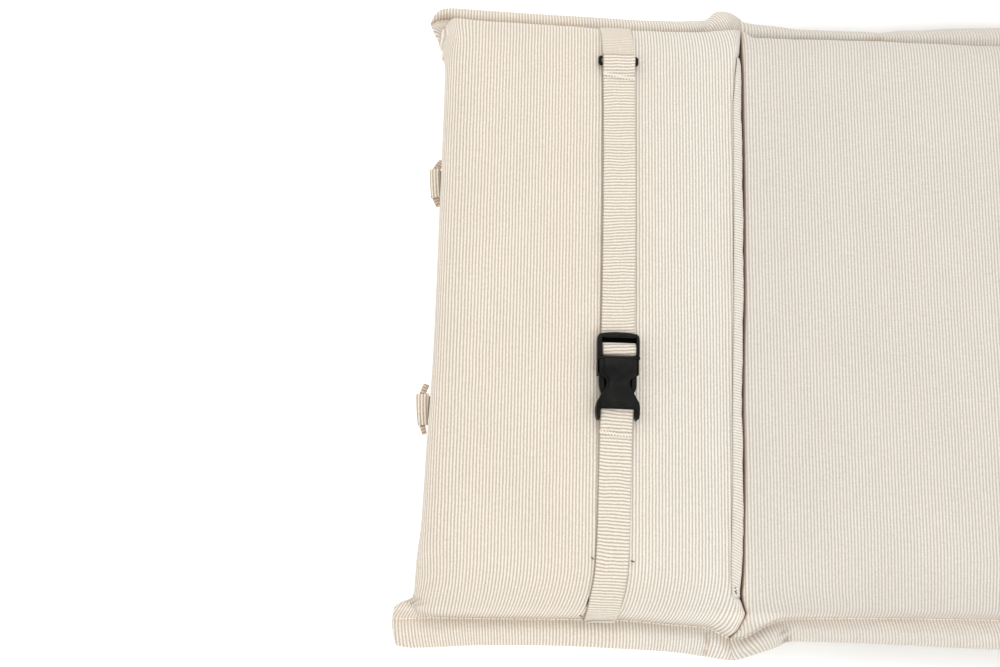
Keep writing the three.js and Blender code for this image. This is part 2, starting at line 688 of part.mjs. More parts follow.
// Joining and cutting for the hard pieces
function toManifold(geometry) {
  const bare = geometry.index ? geometry.toNonIndexed() : geometry.clone();
  bare.deleteAttribute("normal");
  bare.deleteAttribute("uv");
  const merged = mergeVertices(bare, 1e-4);
  return new wasm.Manifold(
    new wasm.Mesh({
      numProp: 3,
      vertProperties: new Float32Array(merged.attributes.position.array),
      triVerts: new Uint32Array(merged.index.array),
    }),
  );
}

function fromManifold(solid) {
  const mesh = solid.getMesh();
  return meshFrom(Array.from(mesh.vertProperties), Array.from(mesh.triVerts));
}

// A flat outline in across and along distances, standing between two heights. Holes run the other way round.
function plate(outline, low, high, bevel = 0, holes = []) {
  const flat = (points) => points.map(([across, along]) => new THREE.Vector2(across, -along));
  const shape = new THREE.Shape(flat(outline));
  holes.forEach((hole) => shape.holes.push(new THREE.Path(flat(hole).reverse())));
  const geometry = new THREE.ExtrudeGeometry(shape, {
    depth: high - low - 2 * bevel,
    bevelEnabled: bevel > 0,
    bevelThickness: bevel,
    bevelSize: bevel,
    bevelOffset: -bevel,
    bevelSegments: 1,
  });
  return geometry.translate(0, 0, low + bevel);
}

const block = (half, from, to, low, high, bevel = 0) => {
  return plate([[-half, from], [half, from], [half, to], [-half, to]], low, high, bevel);
};

const mirrored = (side) => [...side, ...side.map(([across, along]) => [-across, along]).reverse()];

// The half with the adjuster: two rails, two bars, a root and two prongs.
function prongsGeometry() {
  const { half, bevel } = BUCKLE;
  const rail = [
    [RAIL.inner, 1.4],
    [half - 1.2, 1.4],
    [half - 0.2, 3],
    [half, 6],
    [half, WINDOW_END + 0.2],
    [RAIL.inner, WINDOW_END + 0.2],
  ];
  const bow = [[-RAIL.inner - 0.8, 1.2], [-7, 0.2], [0, OUTER_BAR.from], [7, 0.2], [RAIL.inner + 0.8, 1.2]];
  const outerBar = [...bow, [RAIL.inner + 0.8, OUTER_BAR.to], [-RAIL.inner - 0.8, OUTER_BAR.to]];
  const prong = [
    [10.2, ROOT_END - 0.2],
    [13.2, ROOT_END - 0.2],
    [13.2, 30],
    [13.9, 33],
    [13.9, 38],
    [13.3, 42],
    [11.4, 45.8],
    [9.9, 44],
    [10.3, 38],
    [10.2, 30],
  ];
  const other = (side) => side.map(([across, along]) => [-across, along]).reverse();
  const pieces = [
    plate(rail, RAIL.low, RAIL.high, bevel),
    plate(other(rail), RAIL.low, RAIL.high, bevel),
    plate(outerBar, OUTER_BAR.low, OUTER_BAR.high, bevel),
    block(RAIL.inner + 0.8, MIDDLE_BAR.from, MIDDLE_BAR.to, MIDDLE_BAR.low, MIDDLE_BAR.high, bevel),
    block(half, WINDOW_END, ROOT_END, RAIL.low, BUCKLE.top - 0.4, bevel / 2),
    plate(prong, PRONG.low, PRONG.high, bevel),
    plate(other(prong), PRONG.low, PRONG.high, bevel),
  ];
  return fromManifold(pieces.map(toManifold).reduce((sum, piece) => sum.add(piece)));
}

// The socket: a waisted shell with open sides where the prongs show, and two legs beside the strap.
function socketGeometry() {
  const side = [
    [15.4, SOCKET.mouth],
    [15.7, 25],
    [15.4, 32],
    [13.2, 32.6],
    [9.6, 34.6],
    [8.3, 37.6],
    [8.6, 40.4],
    [12.2, 46.4],
    [15.6, 52.6],
    [16.1, 55.5],
    [15.9, 61],
    [14.9, 64.6],
    [13.1, 64.4],
    [STRAP_POCKET.half, STRAP_POCKET.to],
  ];
  const shell = toManifold(plate(mirrored(side), BUCKLE.base, BUCKLE.top, BUCKLE.bevel));
  const hollow = block(SOCKET.wall, SOCKET.mouth - 1, SOCKET.hollowEnd, SOCKET.floor, SOCKET.roof);
  const pocket = block(
    STRAP_POCKET.half,
    STRAP_POCKET.from,
    STRAP_POCKET.to + 1,
    BUCKLE.base - 1,
    STRAP_POCKET.roof,
  );
  const legs = block(SOCKET.wall + 5, STRAP_POCKET.to + 1.2, 66, BUCKLE.top - 2.2, BUCKLE.top + 1);
  const bar = block(STRAP_POCKET.half + 1.2, END_BAR.from, END_BAR.to, END_BAR.low, END_BAR.high, BUCKLE.bevel);
  const cut = [hollow, pocket, legs].map(toManifold).reduce((rest, piece) => rest.subtract(piece), shell);
  return fromManifold(cut.add(toManifold(bar)));
}

// A small rectangular ring, level with the strap's middle.
function ringGeometry() {
  const { width, length, bar, side, thick, bevel } = RING;
  const corner = 1.6;
  const outer = mirrored([
    [width / 2 - corner, -length / 2],
    [width / 2, -length / 2 + corner],
    [width / 2, length / 2 - corner],
    [width / 2 - corner, length / 2],
  ]);
  const inner = mirrored([
    [width / 2 - side, -length / 2 + bar],
    [width / 2 - side, length / 2 - bar],
  ]);
  return plate(outer, -thick / 2, thick / 2, bevel, [inner]);
}

// Materials
const cloth = new THREE.MeshStandardMaterial({ color: 0xeae0d0, roughness: 0.95, metalness: 0 });
const tape = new THREE.MeshStandardMaterial({ color: 0xe8e1d4, roughness: 0.95, metalness: 0 });
const plastic = new THREE.MeshStandardMaterial({ color: 0x242524, roughness: 0.45, metalness: 0 });

const part = new THREE.Group();

function addPiece(name, geometry, material, holder = part) {
  const mesh = new THREE.Mesh(geometry, material);
  mesh.name = name;
  holder.add(mesh);
  return mesh;
}

addPiece("cushion", coverGeometry(), cloth);
addPiece("crease_flap", stripGeometry(flapRows(), FLAP.thick), cloth);
LOOPS.forEach((loop) => addPiece(loop.name, stripGeometry(loopRows(loop), LOOP.thick), tape));
addPiece("tab_far", stripGeometry(strapRows(tabLine()), STRAP.thick), tape);
addPiece("strap_far", stripGeometry(strapRows(strapFarLine()), STRAP.thick), tape);
addPiece("strap_near", stripGeometry(strapRows(strapNearLine()), STRAP.thick), tape);

const ring = addPiece("ring_far", ringGeometry(), plastic);
ring.position.copy(ringPlace);
ring.rotation.x = Math.atan2(ringAlong.z, ringAlong.y);

const buckle = new THREE.Group();
buckle.position.set(BUCKLE.x, BUCKLE.far, BUCKLE_LEVEL);
addPiece("buckle_prongs", prongsGeometry(), plastic, buckle);
addPiece("buckle_socket", socketGeometry(), plastic, buckle);
part.add(buckle);

export default part;
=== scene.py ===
import math

import bmesh
import bpy
import numpy as np
from mathutils import Matrix, Vector


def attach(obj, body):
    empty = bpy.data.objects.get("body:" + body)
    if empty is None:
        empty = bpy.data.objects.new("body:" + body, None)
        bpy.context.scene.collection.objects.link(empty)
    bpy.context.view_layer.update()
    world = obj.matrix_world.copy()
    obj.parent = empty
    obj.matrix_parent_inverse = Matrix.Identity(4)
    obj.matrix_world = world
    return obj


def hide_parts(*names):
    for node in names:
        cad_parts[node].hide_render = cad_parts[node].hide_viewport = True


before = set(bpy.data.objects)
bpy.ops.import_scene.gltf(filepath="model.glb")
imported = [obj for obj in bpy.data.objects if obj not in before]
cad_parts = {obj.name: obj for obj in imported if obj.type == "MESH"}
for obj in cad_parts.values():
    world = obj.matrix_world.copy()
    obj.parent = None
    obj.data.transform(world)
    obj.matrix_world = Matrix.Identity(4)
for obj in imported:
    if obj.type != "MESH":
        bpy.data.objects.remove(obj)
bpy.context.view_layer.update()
MM = 0.001
# A side is named by the sign of its y, and each face of the cover has its own way up
NEAR, FAR = -1, 1
UP = {"top": 1, "under": -1}

# The filled cover, as in the part's source
SEAM_HEIGHT = 21.0
SEAM_HALF = 2.0
CROWN_EDGE = 57.5
CROWN_RISE = 4.5
FLANGE_HALF = 6.5
FLANGE_FULLEST = 0.5
FLANGE_DROOP = {NEAR: 3.0, FAR: 7.0}
# The droop fades out within this length of the cover's ends
DROOP_FADE = 20.0
EAR_PUFF = 5.0
EAR_TUCK = 7.0
CREASE_PINCH = {"least": 0.35, "reach": 8.0}
PAD_CORNER = 214.0
CORNER_MITRE = 2.6
UNEVEN = {"height": 0.7, "along": 71.0, "across": 59.0}
# How much of its walls' bulge each face has
SWELL = {"top": 1.0, "under": 0.6}
# A pad's walls: how far in each face's wall reaches, its bulge, and the two powers of its curve
SIDE_WALLS = {
    NEAR: {"top": 45.0, "under": 27.0, "bulge": 0.5, "curve": 2.2, "stand": 1.4},
    FAR: {"top": 44.0, "under": 27.0, "bulge": 0.5, "curve": 2.1, "stand": 1.45},
}
END = {"top": 30.0, "under": 24.0, "bulge": 5.0, "curve": 2.5, "stand": 2.5}
FLAP_SIDE = {"top": 9.0, "under": 18.0, "bulge": 0.5, "curve": 2.5, "stand": 2.5}
BACK_SIDE = {"top": 2.0, "under": 18.0, "bulge": 1.8, "curve": 2.5, "stand": 3.4}
CREASE = {"top": 13.0, "under": 18.0, "bulge": 0.5, "curve": 2.5, "stand": 2.5}
PAD_EDGES = [(END, FLAP_SIDE), (BACK_SIDE, CREASE), (CREASE, END)]
# Past the flap's ends the head pad's edge stands steep: where along y, over what length, and its wall
FLAP_ENDS = (-211.0, 203.0, 6.0)
TIGHT_END = {"top": 3.6, "under": 18.0, "curve": 2.5, "stand": 3.0}
# The far head corner stands crisp: where along y it starts to, and its steeper wall
CRISP_CORNER = {"from": 186.0, "over": 28.0, "top": 13.0, "under": 24.0, "curve": 2.5, "stand": 2.5}
# The near head corner slopes down to its ear: where along y it starts to, and its easier wall
SOFT_CORNER = {"from": -178.0, "over": -36.0, "top": 36.0, "under": 24.0, "curve": 1.6, "stand": 1.3}

# Sewn lines across the cushion: y, x
HEAD_END = [
    (-258, -609), (-256, -614.5), (-253, -617), (-247, -618.6), (-240, -619.6), (-232, -619.4),
    (-227.5, -618.2), (-224.6, -615.4), (-223.2, -611), (-222, -606.4), (-217, -604.4), (-205, -602.6),
    (-190, -600), (-170, -597.4), (-110, -595.5), (-34, -593), (110, -592), (190, -591.6), (200, -592),
    (208, -594), (215, -597.4), (222, -600.6), (229, -604.4), (235, -607.4), (238.5, -608.6), (243, -607.6),
    (247, -605.8), (251, -602.4), (254, -597),
]
HEAD_CREASE = [
    (-260, -366.5), (-249, -368.9), (-243, -369.3), (-240.3, -368), (-237, -366.5), (-232, -364.9),
    (-226.3, -362.9), (-219, -366), (-212, -367.8), (-188, -366.6), (-108, -364.8), (-86, -364.8),
    (-55, -364.2), (6, -362.2), (86, -360.9), (177, -360.4), (200, -360.2), (209, -360.3),
    (220.6, -359.1), (237, -355.6), (250, -352.9), (258, -352),
]
SEAT_CREASE = [(-256, 116), (-150, 119), (0, 117), (140, 119.5), (256, 116.5)]
SEAT_END = [
    (-254, 611), (-248, 618), (-238, 620), (-227, 614), (-212, 598), (-190, 594),
    (190, 593), (212, 597.5), (227, 613), (238, 618.5), (248, 616), (254, 608),
]
SEWN_LINES = [HEAD_END, HEAD_CREASE, SEAT_CREASE, SEAT_END]

# The stitching line and the flange's outer edge: x, y of the line, y of the edge
NEAR_SIDE = [
    (-620, -235.6, -255), (-605, -234.8, -256.8), (-592, -234, -256.4), (-560, -233.8, -254.2),
    (-500, -233, -253), (-452, -232.6, -254), (-431, -233.7, -254.6), (-413, -235, -255.4),
    (-392, -236, -257.6), (-384, -237, -258.6), (-377, -240.4, -259.6), (-367, -244, -260.4),
    (-361, -243.8, -259.6), (-354, -240.8, -257.4), (-346, -236.4, -254.8), (-338, -232.2, -252.2),
    (-331, -229.6, -249.4), (-325, -228.8, -246.4), (-318, -228.4, -245.8), (-278, -227.2, -245.8),
    (-240, -226.4, -246.4), (-163, -225.8, -248), (70, -226, -246.5), (98, -229, -251),
    (116, -240, -257), (133, -233, -252), (162, -228, -247.5), (400, -229, -249.5), (620, -233, -252.5),
]
FAR_SIDE = [
    (-609, 237.4, 247), (-604, 239.6, 251), (-599, 241, 252.8), (-589, 241.6, 253.4), (-566, 240.3, 252.8),
    (-543, 239.7, 252.2), (-519, 239.2, 251.6), (-496, 238.6, 251.2), (-472, 237.6, 250.8),
    (-436, 237.4, 250), (-403, 237.8, 250.4), (-390, 238.2, 251.6), (-383, 239, 251.9), (-379, 239.8, 253),
    (-374, 240.4, 258.6), (-370, 241, 261), (-365, 241.8, 261.4), (-360.5, 242, 260.6),
    (-356, 241.2, 259.2), (-352, 239.8, 256.8), (-348.6, 236.6, 253), (-343, 235.4, 251.2),
    (-319, 235.6, 249.4), (-304, 236, 247.8), (-265, 236.8, 247.8), (-246, 237, 248.2), (-234, 237, 247.8),
    (-216, 237, 250.6), (-199, 237, 251.8), (-173, 237, 254.7), (-147, 237.1, 256.4), (-128, 237.3, 257.5),
    (-60, 237.6, 255), (0, 237, 251), (70, 236, 249), (98, 238.5, 252), (116, 243.5, 257.5),
    (133, 240, 252.5), (162, 236, 248.5), (400, 237, 250), (612, 239.5, 252),
]
SIDES = {NEAR: NEAR_SIDE, FAR: FAR_SIDE}

# The far head corner's folded cloth lies outside a line from the side seam to the end seam
FOLD_START = (-586.6, 237.4)
FOLD_END = (-595.6, 220.4)
FOLD_WALL = {"top": 1.8, "under": 1.8, "curve": 2.5, "stand": 2.5}
# How its stripes run: their share of x and of y
FOLD_STRIPES = (0.8, 1.05)
# From this y the stripes run on straight towards the far head corner
STRAIGHT_FROM = 180.0

# The shown cover's rows and columns, finer than the part's
EDGE_STEPS = 14
FINE_STEP = 2.4
PAD_STEP = [3.2, 4.6, 7.5]
FINE_REACH = 24.0
ACROSS_STEPS = 66
# Extra rows and columns where the far head corner is folded: from, to, step
FOLD_ROWS = (4.3, 28.0, 1.2)
FLANGE_SHARES = [1, 0.985, 0.95, 0.89, 0.81, 0.71, 0.6, 0.49, 0.38, 0.28, 0.19, 0.12, 0.06]

# How far the stripes are dragged towards the head at the side seams and on the flanges, on the head pad
# and past its crease: x, near seam, near flange's edge, far seam, far flange's edge
STRIPE_SWEEP = [
    [
        (-618, 0, -2, 0, 0), (-600, 1, -4, 0, 0), (-575, 4, -3.6, -0.5, 0), (-550, 7, -1.5, -1, 0.3),
        (-520, 9.5, -1, -1.6, 0.5), (-500, 10, -0.5, -2, 0.5), (-475, 8.5, -0.5, -2.4, 1),
        (-450, 6.5, -0.5, -2.5, 1), (-420, 7, 0.5, -2, 2), (-395, 8.5, 2, -0.5, 5), (-384, 9, 3.5, 0, 10),
        (-372, 8, 4, 1, 14), (-352, 6, 4, 1.5, 14),
    ],
    [
        (-366, -8, -7, -2, -1), (-345, -11, -9, -4, -1), (-334, -11.4, -7, -5, 0), (-328, -11, -3, -5.5, 0),
        (-300, -9.6, -3, -7, 0.5), (-265, -9, -3, -8, 0.5), (-200, -9, -4, -9, 1), (-140, -8.5, -5, -10, 1),
        (0, -6, -3, -5, 0), (100, 0, 0, 0, 0), (600, 0, 0, 0, 0),
    ],
]
# For each side: its first column in these rows, how far in the drag reaches, and the powers it grows
# by up to the seam and out over the flange
SWEEP_SIDES = [(NEAR, 1, 44.0, 2.6, 1.5), (FAR, 3, 46.0, 2, 1)]

# Pleats in the flange: side, where they start at the seam, where they end at the outer edge, depth, width
PLEATS = [
    (NEAR, -332, -325.8, 3.8, 2.2), (FAR, -237, -233.5, 2.2, 2), (NEAR, -385.5, -388, 2.4, 2),
    (NEAR, -402, -404, 0.8, 4), (FAR, -433, -436, 1, 4), (FAR, -384, -379.5, 3.4, 2.2),
    (FAR, -205, -200, 1.2, 5), (FAR, -140, -146, 1.4, 4), (NEAR, 150, 158, 2.6, 3.5),
    (FAR, 155, 161, 2.4, 3.5),
]

# Small folds in the cover: how high the slack stands, and the height of each kind of pucker, how far it
# reaches from its seam or crease, and how far off it is full
SLACK_HEIGHT = 0.6
SEAM_RIPPLE = (1.1, 16, 5)
SEAM_PUCKER = (0.7, 7, 3)
CREASE_RIPPLE = (0.8, 12, 6)
# How much they are drawn out, away from their seam or crease
DRAWN_OUT = {"ripple": 0.35, "pucker": 0.4, "crease": 0.3}
# Shares of the flange: where it calms down towards its edge, and where a pleat starts and ends, and its line
FLANGE_CALM = 0.25
PLEAT_STARTS = 0.25
PLEAT_ENDS = 0.12
PLEAT_LINE_STARTS = 0.3

# Painted shade lines in the side seams: how strong each is, how far out on the flange, and how wide
SEAM_LINES = {NEAR: (0.2, 1.6, 1.5), FAR: (0.6, 1.4, 0.9)}
# Painted shade lines in the creases and along the far head corner's fold: how strong and how wide
CREASE_LINE = (1.15, 1.4)
FOLD_LINE = (0.8, 0.9)
# The fold's line shows before this x and past this y
FOLD_SHOWS = (-584, 214)
# Painted shade lines in pleats that are narrower than the sharp width
PLEAT_LINE = {"strength": 0.55, "width": 0.7, "sharp": 3.0}
# The creases' painted shade lines on the flanges: how strong, how wide, and how far out they reach
FLANGE_CREASE = (0.95, 0.8, 9)

STRIPE_PITCH = 2.426
# The weave's single threads and the weft that crosses them, in metres
THREAD_PITCH = 0.00042
WEFT_PITCH = 0.00062
# The cloth's unevenness: its grain along and across the stripes' coordinates, in metres, then detail and seed
DRIFT = (0.035, 0.022, 3.0)
JITTER = (0.0024, 0.0016, 2.0, 3.0)
FLECK = (0.0009, 0.0022, 2.0, 7.0)
SLUB = (0.012, 0.0008, 2.0, 9.0)
PATCH = (0.05, 0.07, 3.0, 11.0)
RIM_DOTS = (0.0011, 0.004, 1.0, 23.0)
# Colours of the painted shade in the seams and creases: brown, and nearly black where deepest
SEAM_SHADE_BROWN = (0.36, 0.19, 0.095)
SEAM_SHADE_DEEP = (0.035, 0.024, 0.017)
# Colour of the painted shadow along the tapes' edges
TAPE_EDGE_SHADOW = (0.26, 0.185, 0.125)
# Where along x the cloth changes at the first crease, in metres, and how much fainter its stripes are past it
PAST_CREASE = (-0.366, -0.36)
FAINTER = 0.2
# Tints along x, and where each comes on: the first is painted light, the head pad turning cooler towards the
# right; the second is the cloth's own greyer colour past the first crease
TINTS = [((-0.5, -0.4), (0.98, 1.01, 1.05)), (PAST_CREASE, (0.93, 0.925, 0.93))]
# Painted light: how much lighter the cloth is painted by the near seam and out on the near flange, against
# the shade there, and where along y, in metres
FLANGE_LIGHT = ((-0.229, -0.2365), (1.21, 1.03))
# Where along y that light comes on, and where along x it grows, from which share to which
LIGHT_FROM = (-0.223, -0.2285)
LIGHT_GROWS = (-0.42, -0.3, 0.15, 1.0)

# Strap, tab and ring
STRAP_WIDTH = {FAR: 25.4, NEAR: 24.3, "tab": 24.7}
STRAP_THICK = 1.2
# The tapes are this share thinner inside their rims, and the rims are this share of half a tape
STRAP_HOLLOW = 0.125
STRAP_RIM = 0.25
STRAP_CLEAR = 0.5
STRAP_LAYER = 0.35
WALL_CLEAR = 0.4
BAR_CLEAR = 0.35
STRAP_LINE = [
    (-231, -466.8), (-218, -465.4), (-198, -462.9), (-170, -461.6), (-120, -460.9), (-95, -460.6),
    (-70, -459.9), (-26, -459.5), (5, -459), (80, -458.6), (161, -459), (187, -459.5), (201, -459.6),
    (231, -459.6),
]
STRIPE_SKEW = {FAR: 0.06, NEAR: 0.05}
RING_Y = 193.4
RING_WIDTH = 31.6
RING_LENGTH = 7.8
RING_BAR = 2.0
RING_CLEAR = 0.54
RING_CORNER = 1.1
# The tab's layers where they are sewn in, and the strap's slack fold over the ring
TAB_PRESS = {"start": 3.0, "from": 8.0, "reach": 16.0, "lower": 0.35, "upper": 0.9}
# How its thickness grows from each end: pressed most up to here, full after this length more, its least share
TAB_SEWN = (18.0, 16.0, 0.35)
SLACK_FOLD = {
    "gap": 0.1,
    "turns": (0, 25, 50, 75),
    "back": [(2.9, 3.6), (3.3, 4.1), (2.7, 4.65), (0, 4.6), (-3.5, 4), (-7.5, 3)],
}
STRAP_FAR_END = 179.0
STRAP_NEAR_END = -108.0

# Buckle: distances along the strap from its far end, heights over the pad
BUCKLE_FAR = -25.4
BUCKLE_X = -459.8
# The prongs' frame: its inner and outer edges on the left and on the right
FRAME_LEFT = (11.8, 15.2)
FRAME_RIGHT = (13.9, 16.1)
TAIL = 17.0
MIDDLE_BAR_TOP = 4.6
END_BAR = (51.0, 54.2, 3.4, 5.9)

# Loops of folded tape in the head end's seam. Each strip: start, end, width at each, thickness, how far it
# # arches, and its kind, which says how much painted shade it has and which way it faces
LOOP_PARTS = {"band": (0.0, -0.3), "inside": (0.8, 0.1), "leg": (0.4, -0.2)}
LOOPS = {
    "loop_far": [
        ((-600.6, 112.6, 25), (-598.9, 89.0, 24.6), (8.6, 8.0), 3.0, 0.7, "band"),
        ((-595.9, 112.2, 22), (-595.0, 91.6, 21.8), (4.2, 3.2), 1.6, 0.2, "inside"),
        ((-599.6, 112.2, 22.8), (-595.0, 120.4, 22.2), (6.0, 4.6), 2.2, 1.0, "leg"),
        ((-599.0, 89.8, 22.8), (-596.2, 82.6, 22.2), (6.2, 4.4), 2.2, 0.8, "leg"),
    ],
    "loop_near": [
        ((-603.6, -68.6, 25.2), (-602.3, -92.6, 24.8), (10.6, 8.0), 3.2, 0.9, "band"),
        ((-598.3, -69.8, 22), (-599.4, -89.8, 21.8), (2.8, 1.4), 1.6, 0.2, "inside"),
        ((-603.8, -69.4, 22.8), (-600.6, -60.8, 22.2), (4.6, 4.6), 2.2, 1.0, "leg"),
        ((-602.8, -91.8, 22.8), (-600.9, -99.0, 22), (4.4, 3.4), 2.2, 0.8, "leg"),
    ],
}

# Flap beside the first crease
FLAP_THICK = 2.3
FLAP_CLEAR = 0.35
FLAP_DROOP = 1.6
FLAP_STEP = 1.3
FLAP_COLUMNS = 13
FLAP_SLANT = {"middle": 0.22, "end": 0.6, "from": -120.0, "over": 70.0}
FLAP_PITCH = 0.87
# The painted shade along its free edge beside the crease: its share of the strip's width, and how dark it is
FLAP_EDGE_SHADE = (0.16, 0.66)
# y, how far its sewn edge and its free edge lie past the crease's sewn line
FLAP_EDGES = [
    (-214.5, -6.6, -1.3), (-209, -7.6, -1.6), (-188, -9, -0.4), (-108, -8.6, -1.0), (-55, -8.2, -1.1),
    (6, -8.6, -1.1), (86, -8.4, -1.3), (163, -8.0, -1.4), (177, -6.6, -1.4), (188, -5.8, -1.3),
    (205, -3.6, -1.2),
]

# Top stitching along the side seams: its runs between the creases, how far it keeps from the cover's ends,
# and how far it sits out on the flange
SEWN_RUNS = [(-618, -367), (-362, 112), (120, 615)]
STITCH_PITCH = 3.4
STITCH_MARGIN = 1.5
STITCH_LENGTH = 3.3
STITCH_WIDTH = 1.0
STITCH_REACH = {NEAR: 0.7, FAR: 0.3}

# Zigzag tacks that hold the straps' sewn ends: (x, y) at the left and right, height of the zigzag, and how
# far they stand over the cover
BARTACKS = {
    "tack_far": ((-471.6, 181.6), (-446.8, 178.2), 3.0, 4.6),
    "tack_near": ((-472.6, -99.4), (-449.4, -101.0), 2.8, 4.5),
    "tack_end": ((-479.0, -232.4), (-455.8, -231.2), 1.2, 3.0),
}
BARTACK_PITCH = 1.1

# Loose ends of thread, and dark thread laid as painted shadow: (x, y) at both ends. The first two are thread
# ends beside the strap; the third is painted shadow under the near strap's left edge, the fourth painted
# shadow in the seam beside the strap's end
THREAD_ENDS_AND_SHADOW_MARKS = [
    ((-477.6, -188.8), (-475.4, -190.6)), ((-448.8, -190.9), (-445.9, -191.5)),
    ((-477.4, -216.6), (-478.6, -223.0)), ((-482.4, -230.1), (-480.0, -230.7)),
]
FLAP_KNOT = [
    ((-373.6, -207.6), (-371.2, -208.6)), ((-371.2, -208.6), (-373.2, -211.0)),
    ((-373.2, -211.0), (-370.4, -212.4)), ((-370.4, -212.4), (-367.6, -214.2)),
]

# Camera, solved from the photograph's sewn lines
CAMERA_TARGET = (-0.54692, -0.02737, 0.062)
CAMERA_DISTANCE = 0.89118
CAMERA_TILT = 12.345
CAMERA_AZIMUTH = -10.181
CAMERA_ROLL = 11.857
CAMERA_LENS = 43.2
CAMERA_SENSOR = 36.0
# Soft square lights: place, target, power, colour
LAMP_SIZE = 1.2
LAMPS = {
    "near softbox": ((0.1, -1.3, 1.9), (-0.3, -0.05, 0), 20.0, (1.0, 0.99, 0.98)),
    "far softbox": ((-0.3, 1.6, 1.9), (-0.3, 0.05, 0), 17.0, (1.0, 0.99, 0.98)),
    "window": ((-1.9, 0.1, 1.5), (-0.5, 0, 0), 5.0, (1.0, 0.96, 0.9)),
}


def read_table(rows, at, column=1):
    """One column of a table at places along it, on a smooth curve that never overshoots the rows."""
    keys = np.array([row[0] for row in rows], float)
    values = np.array([row[column] for row in rows], float)
    secants = np.diff(values) / np.diff(keys)
    product = secants[:-1] * secants[1:]
    total = secants[:-1] + secants[1:]
    slopes = np.zeros(len(keys))
    slopes[1:-1] = np.where(product > 0, 2 * product / np.where(total == 0, 1, total), 0)
    at = np.clip(at, keys[0], keys[-1])
    k = np.clip(np.searchsorted(keys, at, side="right") - 1, 0, len(keys) - 2)
    span = keys[k + 1] - keys[k]
    t = (at - keys[k]) / span
    rest = 1 - t
    start = (1 + 2 * t) * values[k] + t * span * slopes[k]
    finish = (3 - 2 * t) * values[k + 1] - rest * span * slopes[k + 1]
    return rest**2 * start + t**2 * finish


def clamp01(value):
    return np.clip(value, 0, 1)


def smooth(value):
    return clamp01(value) ** 2 * (3 - 2 * clamp01(value))


def arch(value):
    return np.sqrt(1 - (1 - clamp01(value)) ** 2)


def bell(value):
    return np.exp(-(value**2))


def unit(vectors):
    return vectors / np.linalg.norm(vectors, axis=-1, keepdims=True)


def line_x(k, y):
    return read_table(SEWN_LINES[k], y)


def crease_distance(x, y):
    return np.minimum(abs(x - line_x(1, y)), abs(x - line_x(2, y)))


def end_distance(x, y):
    return np.minimum(x - line_x(0, y), line_x(3, y) - x)


def seam_y(side, x):
    return read_table(SIDES[side], x, 1)


def edge_y(side, x):
    return read_table(SIDES[side], x, 2)


def past_side(side, x, y):
    """How far out past one side's stitching a place lies, in millimetres and as a share of the flange."""
    seam = seam_y(side, x)
    past = side * (y - seam)
    return past, past / (side * (edge_y(side, x) - seam))


def past_sides(x, y):
    """The same past the side that it is nearest to; both are below 0 on the pads."""
    past, share = zip(past_side(NEAR, x, y), past_side(FAR, x, y))
    return np.maximum(*past), np.maximum(*share)


def pad_end(k, y):
    """The pads stop square at the ends, while the seam runs on out to the corner ears."""
    if k in (0, len(SEWN_LINES) - 1):
        y = np.clip(y, -PAD_CORNER, PAD_CORNER)
    return line_x(k, y)


def wall(distance, edge, face):
    """How far a place has come up one wall of a pad, from 0 at its foot to 1 on the crown."""
    short = clamp01(1 - distance / edge[face])
    return (1 - short ** edge["curve"]) ** (1 / edge["stand"])


def fold_distance(x, y):
    """How far inside the far head corner's folded cloth a place lies."""
    (start_x, start_y), (end_x, end_y) = FOLD_START, FOLD_END
    along_x, along_y = end_x - start_x, end_y - start_y
    return ((y - start_y) * along_x - (x - start_x) * along_y) / math.hypot(along_x, along_y)


def at_start(k, distance, y, measure):
    """A measure of a pad's first wall, which on the head pad turns to the corners' own walls."""
    value = measure(distance, PAD_EDGES[k][0])
    for edge in (SOFT_CORNER, CRISP_CORNER) if k == 0 else ():
        share = smooth((y - edge["from"]) / edge["over"])
        value = value + share * (measure(distance, edge) - value)
    return value


def fullness(k, x, y, face):
    """How far a place has come up from the sewn lines round its pad, from 0 at a line to 1."""
    from_finish = pad_end(k + 1, y) - x
    at_finish = wall(from_finish, PAD_EDGES[k][1], face)
    walls = [at_start(k, x - pad_end(k, y), y, lambda distance, edge: wall(distance, edge, face))]
    if k == 0:
        near_end, far_end, over = FLAP_ENDS
        tight = smooth(np.maximum(near_end - y, y - far_end) / over)
        at_finish = at_finish + tight * (wall(from_finish, TIGHT_END, face) - at_finish)
        walls.append(wall(fold_distance(x, y), FOLD_WALL, face))
    walls.append(at_finish)
    for side in (NEAR, FAR):
        walls.append(wall(-past_side(side, x, y)[0], SIDE_WALLS[side], face))
    lost = sum((1 - share) ** CORNER_MITRE for share in walls)
    return clamp01(1 - lost ** (1 / CORNER_MITRE))


def crown_height(k, x, y):
    near, far = seam_y(NEAR, x), seam_y(FAR, x)
    along = 2 * (x - pad_end(k, y)) / (pad_end(k + 1, y) - pad_end(k, y)) - 1
    across = 2 * (y - near) / (far - near) - 1
    dome = (1 - clamp01(abs(along)) ** 4) * (1 - clamp01(abs(across)) ** 4)
    uneven = np.sin(x / UNEVEN["along"]) * np.cos(y / UNEVEN["across"])
    return CROWN_EDGE + CROWN_RISE * dome + UNEVEN["height"] * uneven * dome


def flange_half(x, y, share):
    """Half the flange's thickness: pinched at the stitching, round outside, thinner at a crease."""
    rise = SEAM_HALF + (FLANGE_HALF - SEAM_HALF) * smooth(share / FLANGE_FULLEST)
    fall = FLANGE_HALF * arch((1 - share) / (1 - FLANGE_FULLEST))
    thick = np.where(share < FLANGE_FULLEST, rise, fall)
    least = CREASE_PINCH["least"]
    pinch = least + (1 - least) * smooth(crease_distance(x, y) / CREASE_PINCH["reach"])
    return thick * pinch * arch(end_distance(x, y) / EAR_TUCK)


